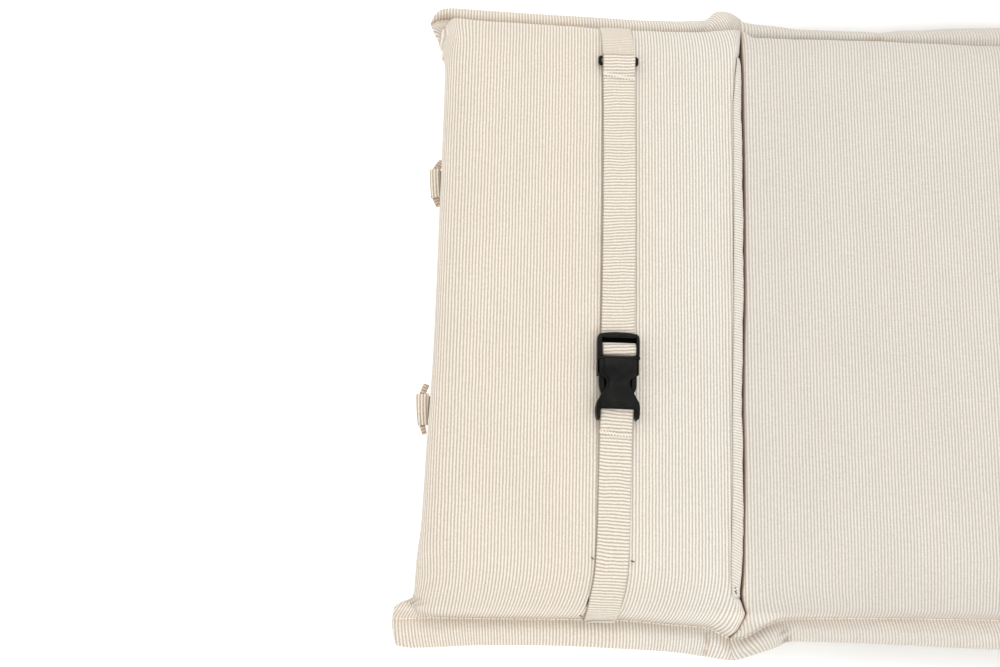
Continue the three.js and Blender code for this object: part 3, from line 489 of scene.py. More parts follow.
def cover_point(k, x, y, face):
    """Points of the plain cover over or under places on the plan, for places on pad k."""
    x, y = np.broadcast_arrays(np.asarray(x, float), np.asarray(y, float))
    beyond, share = past_sides(x, y)
    share = clamp01(share)
    droop = np.where(y < 0, FLANGE_DROOP[NEAR], FLANGE_DROOP[FAR]) * share**1.5
    droop = droop * smooth(end_distance(x, y) / DROOP_FADE)
    flange = SEAM_HEIGHT - droop + UP[face] * flange_half(x, y, share)
    full = fullness(k, x, y, face)
    half = SEAM_HALF * arch(end_distance(x, y) / SEAM_HALF)
    puff = EAR_PUFF * arch(end_distance(x, y) / EAR_TUCK) * smooth(-beyond / EAR_TUCK) * (1 - full)
    pad = crown_height(k, x, y) - SEAM_HEIGHT - half if face == "top" else SEAM_HEIGHT - half
    lift = half + pad * full + puff
    lift = lift if face == "top" else np.minimum(lift, SEAM_HEIGHT)
    swell = np.sin(np.pi * full) * SWELL[face]

    def lean(distance, edge):
        return edge["bulge"] * swell * clamp01(1 - distance / edge[face])

    on_flange = beyond > 0
    start, finish = PAD_EDGES[k]
    lean_x = lean(pad_end(k + 1, y) - x, finish) - lean(x - pad_end(k, y), start)
    lean_y = sum(side * lean(-past_side(side, x, y)[0], SIDE_WALLS[side]) for side in (NEAR, FAR))
    return np.stack(
        [
            x + np.where(on_flange, 0, lean_x),
            y + np.where(on_flange, np.where(y > 0, 0.5, 0) * droop, lean_y),
            np.where(on_flange, flange, SEAM_HEIGHT + UP[face] * lift),
        ],
        -1,
    )


def edge_offsets(radius):
    turn = np.linspace(0, math.pi / 2, EDGE_STEPS + 1)
    return radius * (1 - np.cos(turn) ** 0.8)


def pad_shares(k):
    """Where a pad's rows lie between its two sewn lines, closer together near the lines."""
    start, finish = PAD_EDGES[k]
    length = float(line_x(k + 1, 0) - line_x(k, 0))
    head = list(edge_offsets(start["top"]))
    tail = list(edge_offsets(finish["top"]))
    for offsets, edge in ((head, start), (tail, finish)):
        if edge is not END:
            offsets.extend(np.arange(edge["top"] + FINE_STEP, FINE_REACH, FINE_STEP))
    if k == 0:
        head = sorted(head + list(np.arange(*FOLD_ROWS)))
    middle = length - head[-1] - tail[-1]
    steps = round(middle / PAD_STEP[k])
    inner = head[-1] + middle * np.arange(1, steps) / steps
    return np.concatenate([head, inner, length - np.array(tail[::-1])]) / length


def column_places():
    """Columns across the cover, from near to far: the side, or 0 on the pads, and the share there."""
    width = float(seam_y(FAR, -480.0) - seam_y(NEAR, -480.0))
    offsets = edge_offsets(SIDE_WALLS[NEAR]["top"])
    inner = offsets[-1] + (width - 2 * offsets[-1]) * np.arange(1, ACROSS_STEPS) / ACROSS_STEPS
    pad = np.sort(np.concatenate([offsets, inner, width - offsets, width - np.arange(*FOLD_ROWS)])) / width
    near = [(NEAR, share) for share in FLANGE_SHARES]
    far = [(FAR, share) for share in FLANGE_SHARES[::-1]]
    return near + [(0, share) for share in pad] + far


def plan_grid(k, shares, places):
    """The plan position of each row and column of pad k."""
    zones = np.array([zone for zone, _ in places])
    across = np.array([share for _, share in places])[None, :]
    x = np.repeat((line_x(k, 0.0) + shares * (line_x(k + 1, 0.0) - line_x(k, 0.0)))[:, None], len(places), 1)
    for _ in range(4):
        near, far = seam_y(NEAR, x), seam_y(FAR, x)
        y = near + across * (far - near)
        for side, seam in ((NEAR, near), (FAR, far)):
            y = np.where(zones == side, seam + across * (edge_y(side, x) - seam), y)
        x = line_x(k, y) + shares[:, None] * (line_x(k + 1, y) - line_x(k, y))
    return x, y


def waves(seed, count, shortest, longest):
    """A few long soft waves in fixed random directions, as a function of x and y, about 1 at most."""
    rng = np.random.default_rng(seed)
    angles = rng.uniform(0, math.pi, count)
    lengths = rng.uniform(shortest, longest, count)
    phases = rng.uniform(0, 2 * math.pi, count)

    def height(x, y):
        total = 0
        for angle, length, phase in zip(angles, lengths, phases):
            total = total + np.sin((x * math.cos(angle) + y * math.sin(angle)) * 2 * math.pi / length + phase)
        return total / count

    return height


SLACK = waves(4, 7, 60, 170)
PUCKER = waves(9, 6, 9, 21)
RIPPLE = waves(21, 6, 22, 60)


def fading(distance, height, reach, clear):
    """How high puckers stand at a distance from their seam."""
    return height * np.exp(-distance / reach) * smooth(distance / clear)


def pleat(row, x, y, share, over, width):
    """How much of one pleat shows at places on the flanges, from 0 to 1."""
    side, start, end = row[:3]
    here = start + (end - start) * clamp01(share)
    return (np.sign(y) == side) * smooth(share / over) * bell((x - here) / width)


def dress(k, x, y, points, face):
    """The folds that sewing leaves in the cover: slack, puckers along the seams, and pleats."""
    beyond, share = past_sides(x, y)
    on_pad = beyond < 0
    full = fullness(k, x, y, face)
    lift = SLACK_HEIGHT * SLACK(x, y) * smooth(full)
    lift = lift + RIPPLE(x, y * DRAWN_OUT["ripple"]) * fading(abs(beyond), *SEAM_RIPPLE)
    lift = lift + PUCKER(x, y * DRAWN_OUT["pucker"]) * fading(abs(beyond), *SEAM_PUCKER)
    by_crease = fading(crease_distance(x, y), *CREASE_RIPPLE) * on_pad
    lift = lift + RIPPLE(x * DRAWN_OUT["crease"], y) * by_crease
    if face == "under":
        lift = np.where(on_pad, np.minimum(lift, 0) * smooth(1 - full), lift)
    lift = lift * np.where(on_pad, 1, smooth((1 - share) / FLANGE_CALM))
    for row in PLEATS:
        depth, width = row[3:]
        shown = pleat(row, x, y, share, PLEAT_STARTS, width)
        lift = lift - depth * shown * smooth((1 - share) / PLEAT_ENDS)
    points[..., 2] += UP[face] * lift
    return points


def sweep(k, x, y):
    """How far the stripes are dragged towards the head near the side seams and on the flanges."""
    table = STRIPE_SWEEP[min(k, 1)]
    drag = 0
    for side, column, reach, seam_power, edge_power in SWEEP_SIDES:
        past, share = past_side(side, x, y)
        drag = drag + read_table(table, x, column) * clamp01(1 + past / reach) ** seam_power
        drag = drag + read_table(table, x, column + 1) * clamp01(share) ** edge_power
    return drag


def fold_stripes(x, y, u):
    """The far head corner's folded cloth has its stripes turned."""
    start_x, start_y = FOLD_START
    across, up = FOLD_STRIPES
    turned = start_x + across * (x - start_x) + up * (y - start_y)
    return np.where((fold_distance(x, y) < 0) & (y < seam_y(FAR, x)) & (y > 0) & (x < start_x), turned, u)


def lengths_along(points, axis=0):
    """The length gone along lines of points, at each point."""
    steps = np.linalg.norm(np.diff(points, axis=axis), axis=-1)
    zero = np.zeros_like(np.take(steps, [0], axis=axis))
    return np.concatenate([zero, np.cumsum(steps, axis=axis)], axis=axis)


def wall_slack(distance, edge):
    """How much more cloth than plan length lies between a place on a pad's wall and its crown."""
    at = edge["top"] * np.linspace(0, 1, 200) ** 2
    rise = (CROWN_EDGE - SEAM_HEIGHT) * wall(at, edge, "top")
    extra = np.hypot(np.diff(at), np.diff(rise)) - np.diff(at)
    slack = np.concatenate([np.cumsum(extra[::-1])[::-1], [0]])
    return np.interp(distance, at, slack)


def cloth_along(k, x, y):
    """Cloth coordinate along the cushion: level on the crown and the flanges, longer down the pads' ends."""
    from_near = np.maximum(y - seam_y(NEAR, x), 0)
    on_wall = wall(from_near, SIDE_WALLS[NEAR], "top") ** 1.7 * (y <= seam_y(FAR, x) + 0.01)
    from_start = x - pad_end(k, np.minimum(y, STRAIGHT_FROM) if k == 0 else y)
    slack = at_start(k, from_start, y, wall_slack)
    return x + on_wall * (wall_slack(pad_end(k + 1, y) - x, PAD_EDGES[k][1]) - slack)


def add_object(name, data):
    obj = bpy.data.objects.new(name, data)
    bpy.context.scene.collection.objects.link(obj)
    return obj


def make_mesh(name, vertices, faces, threads=None, shade=None):
    """A mesh object from points in millimetres; threads holds cloth coordinates, for vertices or corners."""
    mesh = bpy.data.meshes.new(name)
    vertices = np.asarray(vertices, float).reshape(-1, 3) * MM
    mesh.from_pydata(vertices.tolist(), [], [list(map(int, face)) for face in faces])
    if threads is not None:
        layer = mesh.uv_layers.new(name="threads")
        threads = np.asarray(threads, float).reshape(-1, 2)
        if len(threads) != len(mesh.loops):
            corner = np.empty(len(mesh.loops), int)
            mesh.loops.foreach_get("vertex_index", corner)
            threads = threads[corner]
        layer.data.foreach_set("uv", (threads * MM).ravel())
    if shade is not None:
        mesh.attributes.new("shade", "FLOAT", "POINT").data.foreach_set("value", np.asarray(shade, float))
    mesh.polygons.foreach_set("use_smooth", [True] * len(mesh.polygons))
    mesh.update()
    return add_object(name, mesh)


def closed_mesh(name, vertices, faces, threads=None, shade=None):
    """A mesh object whose skins are closed, with all faces turned outwards."""
    obj = make_mesh(name, vertices, faces, threads, shade)
    mesh = bmesh.new()
    mesh.from_mesh(obj.data)
    bmesh.ops.recalc_face_normals(mesh, faces=mesh.faces)
    mesh.to_mesh(obj.data)
    mesh.free()
    return obj


def seam_shade(k, x, y):
    """How much painted shade lies in the seams and creases, from 0 to 1."""
    beyond, share = past_sides(x, y)
    on_pad = beyond < 0
    from_crease = crease_distance(x, y)
    lines = []
    for side, (strength, out, width) in SEAM_LINES.items():
        lines.append(strength * bell((past_side(side, x, y)[0] - out) / width))
    strength, width = CREASE_LINE
    lines.append(strength * bell(from_crease / width) * on_pad)
    strength, width, reach = FLANGE_CREASE
    lines.append(strength * np.exp(-from_crease / width - beyond / reach) * ~on_pad)
    if k == 0:
        strength, width = FOLD_LINE
        by_fold = on_pad & (x < FOLD_SHOWS[0]) & (y > FOLD_SHOWS[1])
        lines.append(strength * bell(fold_distance(x, y) / width) * by_fold)
    for row in PLEATS:
        if row[-1] <= PLEAT_LINE["sharp"]:
            shown = pleat(row, x, y, share, PLEAT_LINE_STARTS, PLEAT_LINE["width"])
            lines.append(PLEAT_LINE["strength"] * shown)
    return clamp01(np.max(lines, axis=0))


FORWARD = (0, 1, 2, 3)
BACKWARD = (0, 3, 2, 1)


def grid_faces(ids, order=FORWARD):
    """The four-sided faces of a grid of vertices."""
    corners = [ids[:-1, :-1], ids[1:, :-1], ids[1:, 1:], ids[:-1, 1:]]
    return np.stack([corners[c].ravel() for c in order], -1)


def tube_faces(ids):
    """The faces of a closed tube, from its rings of vertices."""
    sides = grid_faces(np.hstack([ids, ids[:, :1]]))
    return sides.tolist() + [ids[0].tolist(), ids[-1][::-1].tolist()]


def make_cover():
    """The whole cover as one closed mesh, with cloth coordinates for its stripes."""
    places = column_places()
    middle_column = len(places) // 2
    top, under, shade, threads, spans = [], [], [], [], []
    row = 0
    for k in range(3):
        shares = pad_shares(k)
        x, y = plan_grid(k, shares, places)
        plain = cover_point(k, x, y, "top")
        first = 0 if k == 0 else 1
        top.append(dress(k, x, y, plain.copy(), "top")[first:])
        under.append(dress(k, x, y, cover_point(k, x, y, "under"), "under")[first:])
        shade.append(seam_shade(k, x, y)[first:])
        across = lengths_along(plain, 1)
        u = fold_stripes(x, y, cloth_along(k, x, y) + sweep(k, x, y))
        threads.append(np.stack([u, across - across[:, [middle_column]]], -1))
        spans.append((row, row + len(shares)))
        row += len(shares) - 1
    top, under, shade = np.concatenate(top), np.concatenate(under), np.concatenate(shade)
    rows, columns = top.shape[:2]
    ids = np.arange(rows * columns).reshape(rows, columns)
    inner = np.zeros((rows, columns), bool)
    inner[1:-1, 1:-1] = True
    top[~inner, 2] = (top[~inner, 2] + under[~inner, 2]) / 2
    under_ids = ids.copy()
    under_ids[inner] = rows * columns + np.arange(inner.sum())
    faces, corners = [], []
    for grid, order in ((ids, FORWARD), (under_ids, BACKWARD)):
        for (start, stop), thread in zip(spans, threads):
            faces.append(grid_faces(grid[start:stop], order))
            places_in_pad = np.arange(thread.shape[0] * columns).reshape(-1, columns)
            corners.append(thread.reshape(-1, 2)[grid_faces(places_in_pad, order).ravel()])
    vertices = np.concatenate([top.reshape(-1, 3), under[inner]])
    shades = np.concatenate([shade.ravel(), shade[inner]])
    return make_mesh("cover", vertices, np.concatenate(faces), np.concatenate(corners), shades)


# Ribbons: straps, tapes and folded strips


def resample(line):
    """Points along a line at even steps of 1 mm, rounded softly between the given ones."""
    line = np.asarray(line, float)
    along = lengths_along(line)
    at = np.linspace(0, along[-1], int(along[-1]) + 1)
    columns = [read_table(list(zip(along, line[:, axis])), at) for axis in range(3)]
    return np.stack(columns, -1)


def tape_section(width):
    """The outline of a woven tape across its width, with full edges: (across, up)."""
    half, thick = width / 2, STRAP_THICK
    across = np.linspace(-half + thick / 2, half - thick / 2, 11)
    upper = thick / 2 * (1 - STRAP_HOLLOW * smooth((1 - np.abs(across) / half) / STRAP_RIM))
    top = list(zip(across, upper))
    right = [(half - 0.15 * thick, 0.28 * thick), (half, 0), (half - 0.15 * thick, -0.28 * thick)]
    under = [(a, -u) for a, u in reversed(top)]
    left = [(-a, -u) for a, u in right]
    return np.array(top + right + under + left)


def pressed(line, start, reach, least):
    """How much of a tape's thickness is left along it, where both its ends are sewn in."""
    along = lengths_along(line)
    from_end = np.minimum(along, along[-1] - along)
    return least + (1 - least) * smooth((from_end - start) / reach)


def make_strap(name, line, width, pitch_scale, skew=0.0, sewn=None):
    """A tape that follows a line, its width along x.

    pitch_scale and skew are for its stripes, and sewn says how thin it is pressed at its ends."""
    line = resample(line)
    section = tape_section(width)
    up = unit(np.cross([1.0, 0, 0], np.gradient(line, axis=0)))
    if sewn:
        up = up * pressed(line, *sewn)[:, None]
    vertices = line[:, None] + section[:, :1] * [1.0, 0, 0] + section[:, 1:] * up[:, None]
    v = np.repeat(section[None, :, 0], len(line), 0)
    threads = np.stack([lengths_along(line)[:, None] / pitch_scale + skew * v, v], -1)
    ids = np.arange(v.size).reshape(v.shape)
    return closed_mesh(name, vertices, tube_faces(ids), threads)


def strap_x(y):
    return read_table(STRAP_LINE, y)


def over_cover(y, lift):
    """A point over the head pad on the strap's line, square to the cover."""
    step = 0.4
    x = float(strap_x(y))
    low = float(seam_y(NEAR, x)) + 0.01
    high = float(seam_y(FAR, x)) - 0.01
    here = cover_point(0, x, y, "top")
    before = cover_point(0, x, max(y - step, low), "top")
    after = cover_point(0, x, min(y + step, high), "top")
    return here + unit(np.array([0, before[2] - after[2], after[1] - before[1]])) * lift


LOWER_LAYER = STRAP_CLEAR + STRAP_THICK / 2
UPPER_LAYER = LOWER_LAYER + STRAP_THICK + STRAP_LAYER
RING_TURN = RING_BAR / 2 + RING_CLEAR + STRAP_THICK / 2
RING_LIFT = LOWER_LAYER + RING_TURN
BAR_MIDDLE = RING_LENGTH / 2 - RING_BAR / 2
RING_PLACE = over_cover(RING_Y, RING_LIFT)
RING_AHEAD = over_cover(RING_Y + 3, RING_LIFT) - over_cover(RING_Y - 3, RING_LIFT)
RING_AHEAD[0] = 0
RING_AHEAD = unit(RING_AHEAD)
RING_UP = np.array([0, -RING_AHEAD[2], RING_AHEAD[1]])
WALL_STEPS = edge_offsets(SIDE_WALLS[NEAR]["top"])[1:]
BUCKLE_LEVEL = max(
    float(cover_point(0, BUCKLE_X, BUCKLE_FAR - along, "top")[2]) for along in (0, 22, 44, 65)
)


def at_ring(along, lift):
    return RING_PLACE + RING_AHEAD * along + RING_UP * lift


def ring_turn():
    """The tab's turn round the ring's far bar."""
    turns = np.linspace(-math.pi / 2, math.pi / 2, 11)
    return [at_ring(BAR_MIDDLE - RING_TURN * math.cos(t), RING_TURN * math.sin(t)) for t in turns]


def at_buckle(along, height, aside=0.0):
    y = BUCKLE_FAR - along
    return np.array([float(strap_x(y)) + aside, y, BUCKLE_LEVEL + height])


def tab_line():
    """From the far seam up the pad's side, round the ring's far bar and back, pressed thin at the seam."""
    seam = float(seam_y(FAR, strap_x(RING_Y)))
    low, high = TAB_PRESS["lower"], TAB_PRESS["upper"]
    lower, upper = [], []
    for y in seam - WALL_STEPS:
        if seam - y <= TAB_PRESS["start"] or y <= RING_Y + 8:
            continue
        share = float(smooth((seam - y - TAB_PRESS["from"]) / TAB_PRESS["reach"]))
        lower.append(over_cover(y, low + share * (LOWER_LAYER + WALL_CLEAR - low)))
        upper.insert(0, over_cover(y, high + share * (UPPER_LAYER + WALL_CLEAR - high)))
    return lower + ring_turn() + upper


def slack_fold():
    """The far strap's fold round the ring, slack enough to lie over the tab's own fold."""
    fold = RING_TURN + STRAP_THICK + SLACK_FOLD["gap"]
    first = at_ring(-BAR_MIDDLE - 0.4, -RING_TURN)
    second = at_ring(-0.5 * (RING_TURN - BAR_MIDDLE) - 0.6, -0.6 * RING_TURN)
    turns = np.radians(SLACK_FOLD["turns"])
    rounded = [at_ring(BAR_MIDDLE - fold * math.cos(turn), fold * math.sin(turn)) for turn in turns]
    over = [at_ring(along, lift) for along, lift in SLACK_FOLD["back"]]
    return [first, second] + rounded + over


def strap_far_line():
    back = [over_cover(y, LOWER_LAYER) for y in (STRAP_FAR_END, STRAP_FAR_END + 5)]
    forward = [over_cover(180, UPPER_LAYER + 0.5), over_cover(176, UPPER_LAYER)]
    forward += [over_cover(y, UPPER_LAYER - 0.4) for y in (170, 155, 130, 105, 80, 50, 25, 5, -6)]
    under = UPPER_LAYER - 0.05
    over = MIDDLE_BAR_TOP + BAR_CLEAR + STRAP_THICK / 2
    places = [
        (-8, under), (2, under), (5.6, under + 0.3, 0.4), (7.6, (under + over) / 2, 0.8),
        (9.5, over - 0.3, 1.1), (11.6, over, 1.2), (14.5, over, 1.2), (16.2, over - 1, 1.1),
        (16.8, (over + LOWER_LAYER) / 2, 0.8), (16, LOWER_LAYER + 0.75, 0.4), (14.2, LOWER_LAYER),
        (8, LOWER_LAYER), (-TAIL, LOWER_LAYER - 0.05),
    ]
    return back + slack_fold() + forward + [at_buckle(*place) for place in places]


def strap_near_line():
    seam = float(seam_y(NEAR, strap_x(-231)))
    side = [over_cover(seam + offset, LOWER_LAYER + WALL_CLEAR) for offset in WALL_STEPS]
    flat = [over_cover(y, LOWER_LAYER + 0.1) for y in (-175, -160, -140, -125)]
    start, end, low, high = END_BAR
    over = high + BAR_CLEAR + STRAP_THICK / 2
    under = low - BAR_CLEAR - STRAP_THICK / 2
    middle = (start + end) / 2
    places = [
        (72, UPPER_LAYER + 0.4), (64, UPPER_LAYER + 2.4), (58, over - 0.6), (middle, over),
        (start - 0.3, over - 0.3), (start - 1.3, (over + under) / 2), (start - 0.3, under + 0.3),
        (middle, under), (60, under - 0.5), (68, LOWER_LAYER + 0.1),
    ]
    joined = [over_cover(-114, LOWER_LAYER + 0.7), over_cover(STRAP_NEAR_END + 2, UPPER_LAYER)]
    last = over_cover(STRAP_NEAR_END, LOWER_LAYER - 0.05)
    return side + flat + joined + [at_buckle(*place) for place in places] + [last]


def flap_grid():
    """The middle of the flap's cloth: one edge sewn on the head pad, the other standing over the crease."""
    rows = []
    for y in np.arange(FLAP_EDGES[0][0], FLAP_EDGES[-1][0], FLAP_STEP):
        crease = float(line_x(1, y))
        sewn, free = (float(read_table(FLAP_EDGES, y, column)) for column in (1, 2))
        shares = np.linspace(0, 1, FLAP_COLUMNS)
        wander = 0.35 * float(PUCKER(17.0, 1.4 * y)) + 0.25 * math.sin(y / 9)
        x = crease + sewn + (free + wander - sewn) * shares
        lift = FLAP_CLEAR + FLAP_THICK / 2
        bearing = float(cover_point(0, crease + sewn, y, "top")[2]) + lift
        surface = cover_point(0, np.minimum(x, crease - 0.05), y, "top")[:, 2] + lift
        z = np.maximum(surface, bearing - FLAP_DROOP * shares**2.2)
        z = z + 0.3 * float(PUCKER(3.0, 1.1 * y + 40)) * np.sin(np.pi * shares)
        rows.append(np.stack([x, np.full_like(x, y), z], -1))
    return np.array(rows)


def make_flap():
    """A strip of cloth folded lengthways, its edges rounded, with slanting stripes."""
    grid = flap_grid()
    rows, columns = grid.shape[:2]
    normal = unit(np.cross(np.gradient(grid, axis=0), np.gradient(grid, axis=1)))
    taper = 1 - 0.75 * np.linspace(-1, 1, columns) ** 6
    taper = taper * (1 - 0.7 * abs(np.linspace(-1, 1, rows)) ** 60)[:, None]
    offset = normal * (FLAP_THICK / 2 * taper)[..., None]
    ids = np.arange(2 * rows * columns).reshape(2, rows, columns)
    quads = [grid_faces(ids[0]), grid_faces(ids[1], BACKWARD)]
    quads += [grid_faces(rim) for rim in (ids[:, :, 0], ids[:, :, -1], ids[:, 0], ids[:, -1])]
    v = lengths_along(grid, 1)
    at_end = smooth((FLAP_SLANT["from"] - grid[..., 1]) / FLAP_SLANT["over"])
    slant = FLAP_SLANT["middle"] + (FLAP_SLANT["end"] - FLAP_SLANT["middle"]) * at_end
    u = lengths_along(grid) / FLAP_PITCH + slant * v
    threads = np.tile(np.stack([u, v], -1).reshape(-1, 2), (2, 1))
    # Painted shade along the free edge, beside the crease's dark slit
    rim, edge_shade_depth = FLAP_EDGE_SHADE
    shade = edge_shade_depth * np.tile(smooth((np.linspace(0, 1, columns) - 1 + rim) / rim), 2 * rows)
    vertices = [grid + offset, grid - offset]
    return closed_mesh("crease_flap_cloth", vertices, np.concatenate(quads), threads, shade)


def strip_between(start, end, width, thick, arch_up, tilt):
    """A short flat strip between two points: rings of an oval section, with its cloth coordinates."""
    start, end = np.array(start, float), np.array(end, float)
    ahead = unit(end - start)
    across = unit(np.cross(ahead, (tilt, 0, 1)))
    up = np.cross(across, ahead)
    turns = np.linspace(0, 2 * math.pi, 20, endpoint=False)
    flat = np.sign(np.cos(turns)) * np.abs(np.cos(turns)) ** 0.45
    tall = np.sign(np.sin(turns)) * np.abs(np.sin(turns)) ** 0.8
    share = np.linspace(0, 1, 15)[:, None]
    pinch = 1 - 0.5 * abs(2 * share - 1) ** 14
    aside = flat * (width[0] + (width[1] - width[0]) * share) / 2
    centre = start + (end - start) * share + up * arch_up * np.sin(math.pi * share)
    rings = centre[:, None] + across * aside[..., None] + up * (tall * thick / 2 * pinch)[..., None]
    along = np.repeat(share * np.linalg.norm(end - start), len(turns), 1)
    return rings, np.stack([aside + np.where(tall < 0, 1.1, 0), along], -1)


def make_loop(name, strips):
    """A loop of folded tape, as one mesh: its band, the layer inside it and its two legs."""
    vertices, faces, threads, shade = [], [], [], []
    for start, end, width, thick, arch_up, kind in strips:
        # Painted shade: the inside layer darkest, the legs less, the band none
        dark, tilt = LOOP_PARTS[kind]
        rings, thread = strip_between(start, end, width, thick, arch_up, tilt)
        if kind == "leg":
            thread = thread[..., ::-1]
        count, around = rings.shape[:2]
        faces += tube_faces(len(vertices) + np.arange(count * around).reshape(count, around))
        vertices += rings.reshape(-1, 3).tolist()
        threads += thread.reshape(-1, 2).tolist()
        shade += [dark] * (count * around)
    return closed_mesh(name + "_tape", vertices, faces, threads, shade)


# Hard pieces


def prism(outline, low, high):
    """A flat outline of (across, along) points as a closed block between two heights."""
    count = len(outline)
    vertices = [(a, -v, height) for height in (low, high) for a, v in outline]
    faces = [list(range(count)), list(range(count, 2 * count))[::-1]]
    faces += [[i, (i + 1) % count, count + (i + 1) % count, count + i] for i in range(count)]
    return vertices, faces


def join_blocks(name, blocks, bevel):
    """Blocks as one object at the buckle's place, with rounded edges."""
    vertices, faces = [], []
    for block_vertices, block_faces in blocks:
        faces += [[len(vertices) + i for i in face] for face in block_faces]
        vertices += block_vertices
    obj = closed_mesh(name, np.array(vertices) + (BUCKLE_X, BUCKLE_FAR, BUCKLE_LEVEL), faces)
    rounding = obj.modifiers.new("rounded edges", "BEVEL")
    rounding.width = bevel * MM
    rounding.segments = 3
    rounding.limit_method = "ANGLE"
    rounding.angle_limit = math.radians(32)
    return obj


def soften(points, rounds=2):
    """An open outline with its corners cut round, keeping its ends."""
    points = [np.array(p, float) for p in points]
    for _ in range(rounds):
        cut = [points[0]]
        for a, b in zip(points[:-1], points[1:]):
            cut += [0.75 * a + 0.25 * b, 0.25 * a + 0.75 * b]
        points = cut + [points[-1]]
    return [tuple(p) for p in points]


def other_side(outline):
    return [(-a, v) for a, v in reversed(outline)]


def pair(outline, low, high):
    return [prism(outline, low, high), prism(other_side(outline), low, high)]


def rectangle(left, right, start, end):
    return [(left, start), (right, start), (right, end), (left, end)]


def rail(inner, outer):
    side = soften([(inner, 1.2), (outer - 1.2, 1.2), (outer - 0.2, 2.8), (outer, 6)], 1)
    return side + [(outer, 18.8), (inner, 18.8)]


def make_prongs():
    (left_inner, left), (right_inner, right) = FRAME_LEFT, FRAME_RIGHT
    bow = soften([(-left + 1.3, 0.7), (-6.5, -0.5), (0.5, -0.7), (7.5, -0.5), (right - 1.3, 0.7)])
    prong = [
        (10.2, 19), (13.2, 19), (13.2, 30), (13.9, 33), (13.95, 38), (13.4, 42.5),
        (11.4, 45.9), (9.8, 44.4), (10.3, 38), (10.2, 30), (10.2, 19.2),
    ]
    blocks = [
        prism(rail(right_inner, right), 1, 7.6),
        prism(other_side(rail(left_inner, left)), 1, 7.6),
        prism(bow + [(right - 1.3, 3.5), (-left + 1.3, 3.5)], 3.7, 7),
        prism(rectangle(-14, 14, 11, 15), 2.2, 4.6),
        prism(rectangle(-left, right, 18.6, 20), 1, 10.3),
    ]
    return join_blocks("buckle_prongs_moulding", blocks + pair(soften(prong, 1), 3, 7.9), 0.55)


def make_lip():
    """The ledge inside the adjuster window, over which the strap comes up, in a darker, duller copy of the
    black plastic: painted shade for the slot.
    """
    return join_blocks("buckle_ledge", [prism(rectangle(-12.4, 14.2, 3.2, 8.6), 3.85, 4.3)], 0.1)


def make_socket():
    waist = [(14.7, 32.2), (13.0, 32.6), (9.6, 34.6), (8.2, 38), (9.4, 41.6), (12.2, 46.4), (15.3, 52)]
    top_side = [(14.9, 20), (15.2, 22), (15.2, 30)] + soften(waist) + [(15.8, 55), (15.8, 57.2)]
    floor_side = [(14.9, 20), (15.2, 22), (15.2, 30), (13, 32.4), (11.4, 36), (11.4, 44), (12.4, 47)]
    cheek = [(13.9, 20), (14.9, 20), (15.2, 22), (15.2, 31.4), (13.9, 31.9)]
    leg = [(13, 47.8), (13.1, 47.9), (15.3, 52), (16, 55), (16.1, 58), (15.9, 61.4)]
    leg += soften([(15.9, 61.4), (15.4, 64), (14.2, 65), (13.1, 64.2)], 1) + [(13, 57)]
    panel = [
        (10.8, 29.4), (10.6, 31.2), (7.6, 33.8), (6.3, 38), (7.4, 42.4), (10.2, 47.2), (12.9, 51.6),
    ]
    panel = [(10.3, 20), (10.3, 27)] + soften(panel) + [(13.2, 54), (13.2, 56)]
    start, end, low, high = END_BAR
    blocks = [
        prism(top_side + other_side(top_side), 8.4, 9.7),
        prism(floor_side + other_side(floor_side), 0.8, 2.4),
        *pair(cheek, 0.8, 9.7),
        *pair(leg, 0.8, 9.6),
        prism(rectangle(-12.4, 12.4, 46.6, 47.8), 0.8, 9.4),
        prism(rectangle(-13.6, 13.6, start, end), low, high),
        prism(panel + other_side(panel), 9.2, 11.3),
    ]
    return join_blocks("buckle_socket_moulding", blocks, 0.5)


def make_ring():
    """A rounded wire ring: a round bar swept along a small rectangle, thicker at its ends."""
    half = np.array([RING_WIDTH / 2 - 1.3, BAR_MIDDLE]) - RING_CORNER
    corners = np.repeat([[1, 1], [-1, 1], [-1, -1], [1, -1]], 7, 0)
    turns = np.radians([np.linspace(start, start + 90, 7) for start in (0, 90, 180, 270)]).ravel()
    path = corners * half + RING_CORNER * np.stack([np.cos(turns), np.sin(turns)], -1)
    ahead = unit(np.roll(path, -1, axis=0) - np.roll(path, 1, axis=0))
    outward = np.stack([ahead[:, 1], -ahead[:, 0]], -1)
    on_end = smooth((np.abs(path[:, 0]) - half[0] + 1) / 1.5)
    angles = np.linspace(0, 2 * math.pi, 14, endpoint=False)
    reach = (1 + 0.3 * on_end)[:, None] * np.cos(angles)
    flat = path[:, None] + outward[:, None] * reach[..., None]
    vertices = RING_PLACE + flat[..., :1] * [1.0, 0, 0] + flat[..., 1:] * RING_AHEAD
    vertices = vertices + np.sin(angles)[:, None] * RING_UP
    ids = np.arange(reach.size).reshape(reach.shape)
    ids = np.vstack([ids, ids[:1]])
    return closed_mesh("ring_far_moulding", vertices, grid_faces(np.hstack([ids, ids[:, :1]])))


# Sewing thread


def stitches(name, starts, ends, up, width, sunk=0.0):
    """Stitches as small arched beads from start to end, standing on the cloth."""
    up = np.array(up, float)
    ahead = ends - starts
    across = unit(np.cross(up, ahead))
    share = np.linspace(0, 1, 5)
    swell = np.sin(math.pi * (0.12 + 0.76 * share))
    lift = up * (width * (swell - 0.6 - sunk))[:, None]
    centre = starts[:, None] + ahead[:, None] * share[:, None] + lift
    angles = np.linspace(0, 2 * math.pi, 6, endpoint=False)
    outward = across[:, None] * np.cos(angles)[:, None] + up * np.sin(angles)[:, None]
    beads = centre[:, :, None] + outward[:, None] * (width / 2 * swell)[:, None, None]
    ids = np.arange(beads.size // 3).reshape(beads.shape[:3])
    faces = [face for bead in ids for face in tube_faces(bead)]
    return closed_mesh(name, beads, faces)


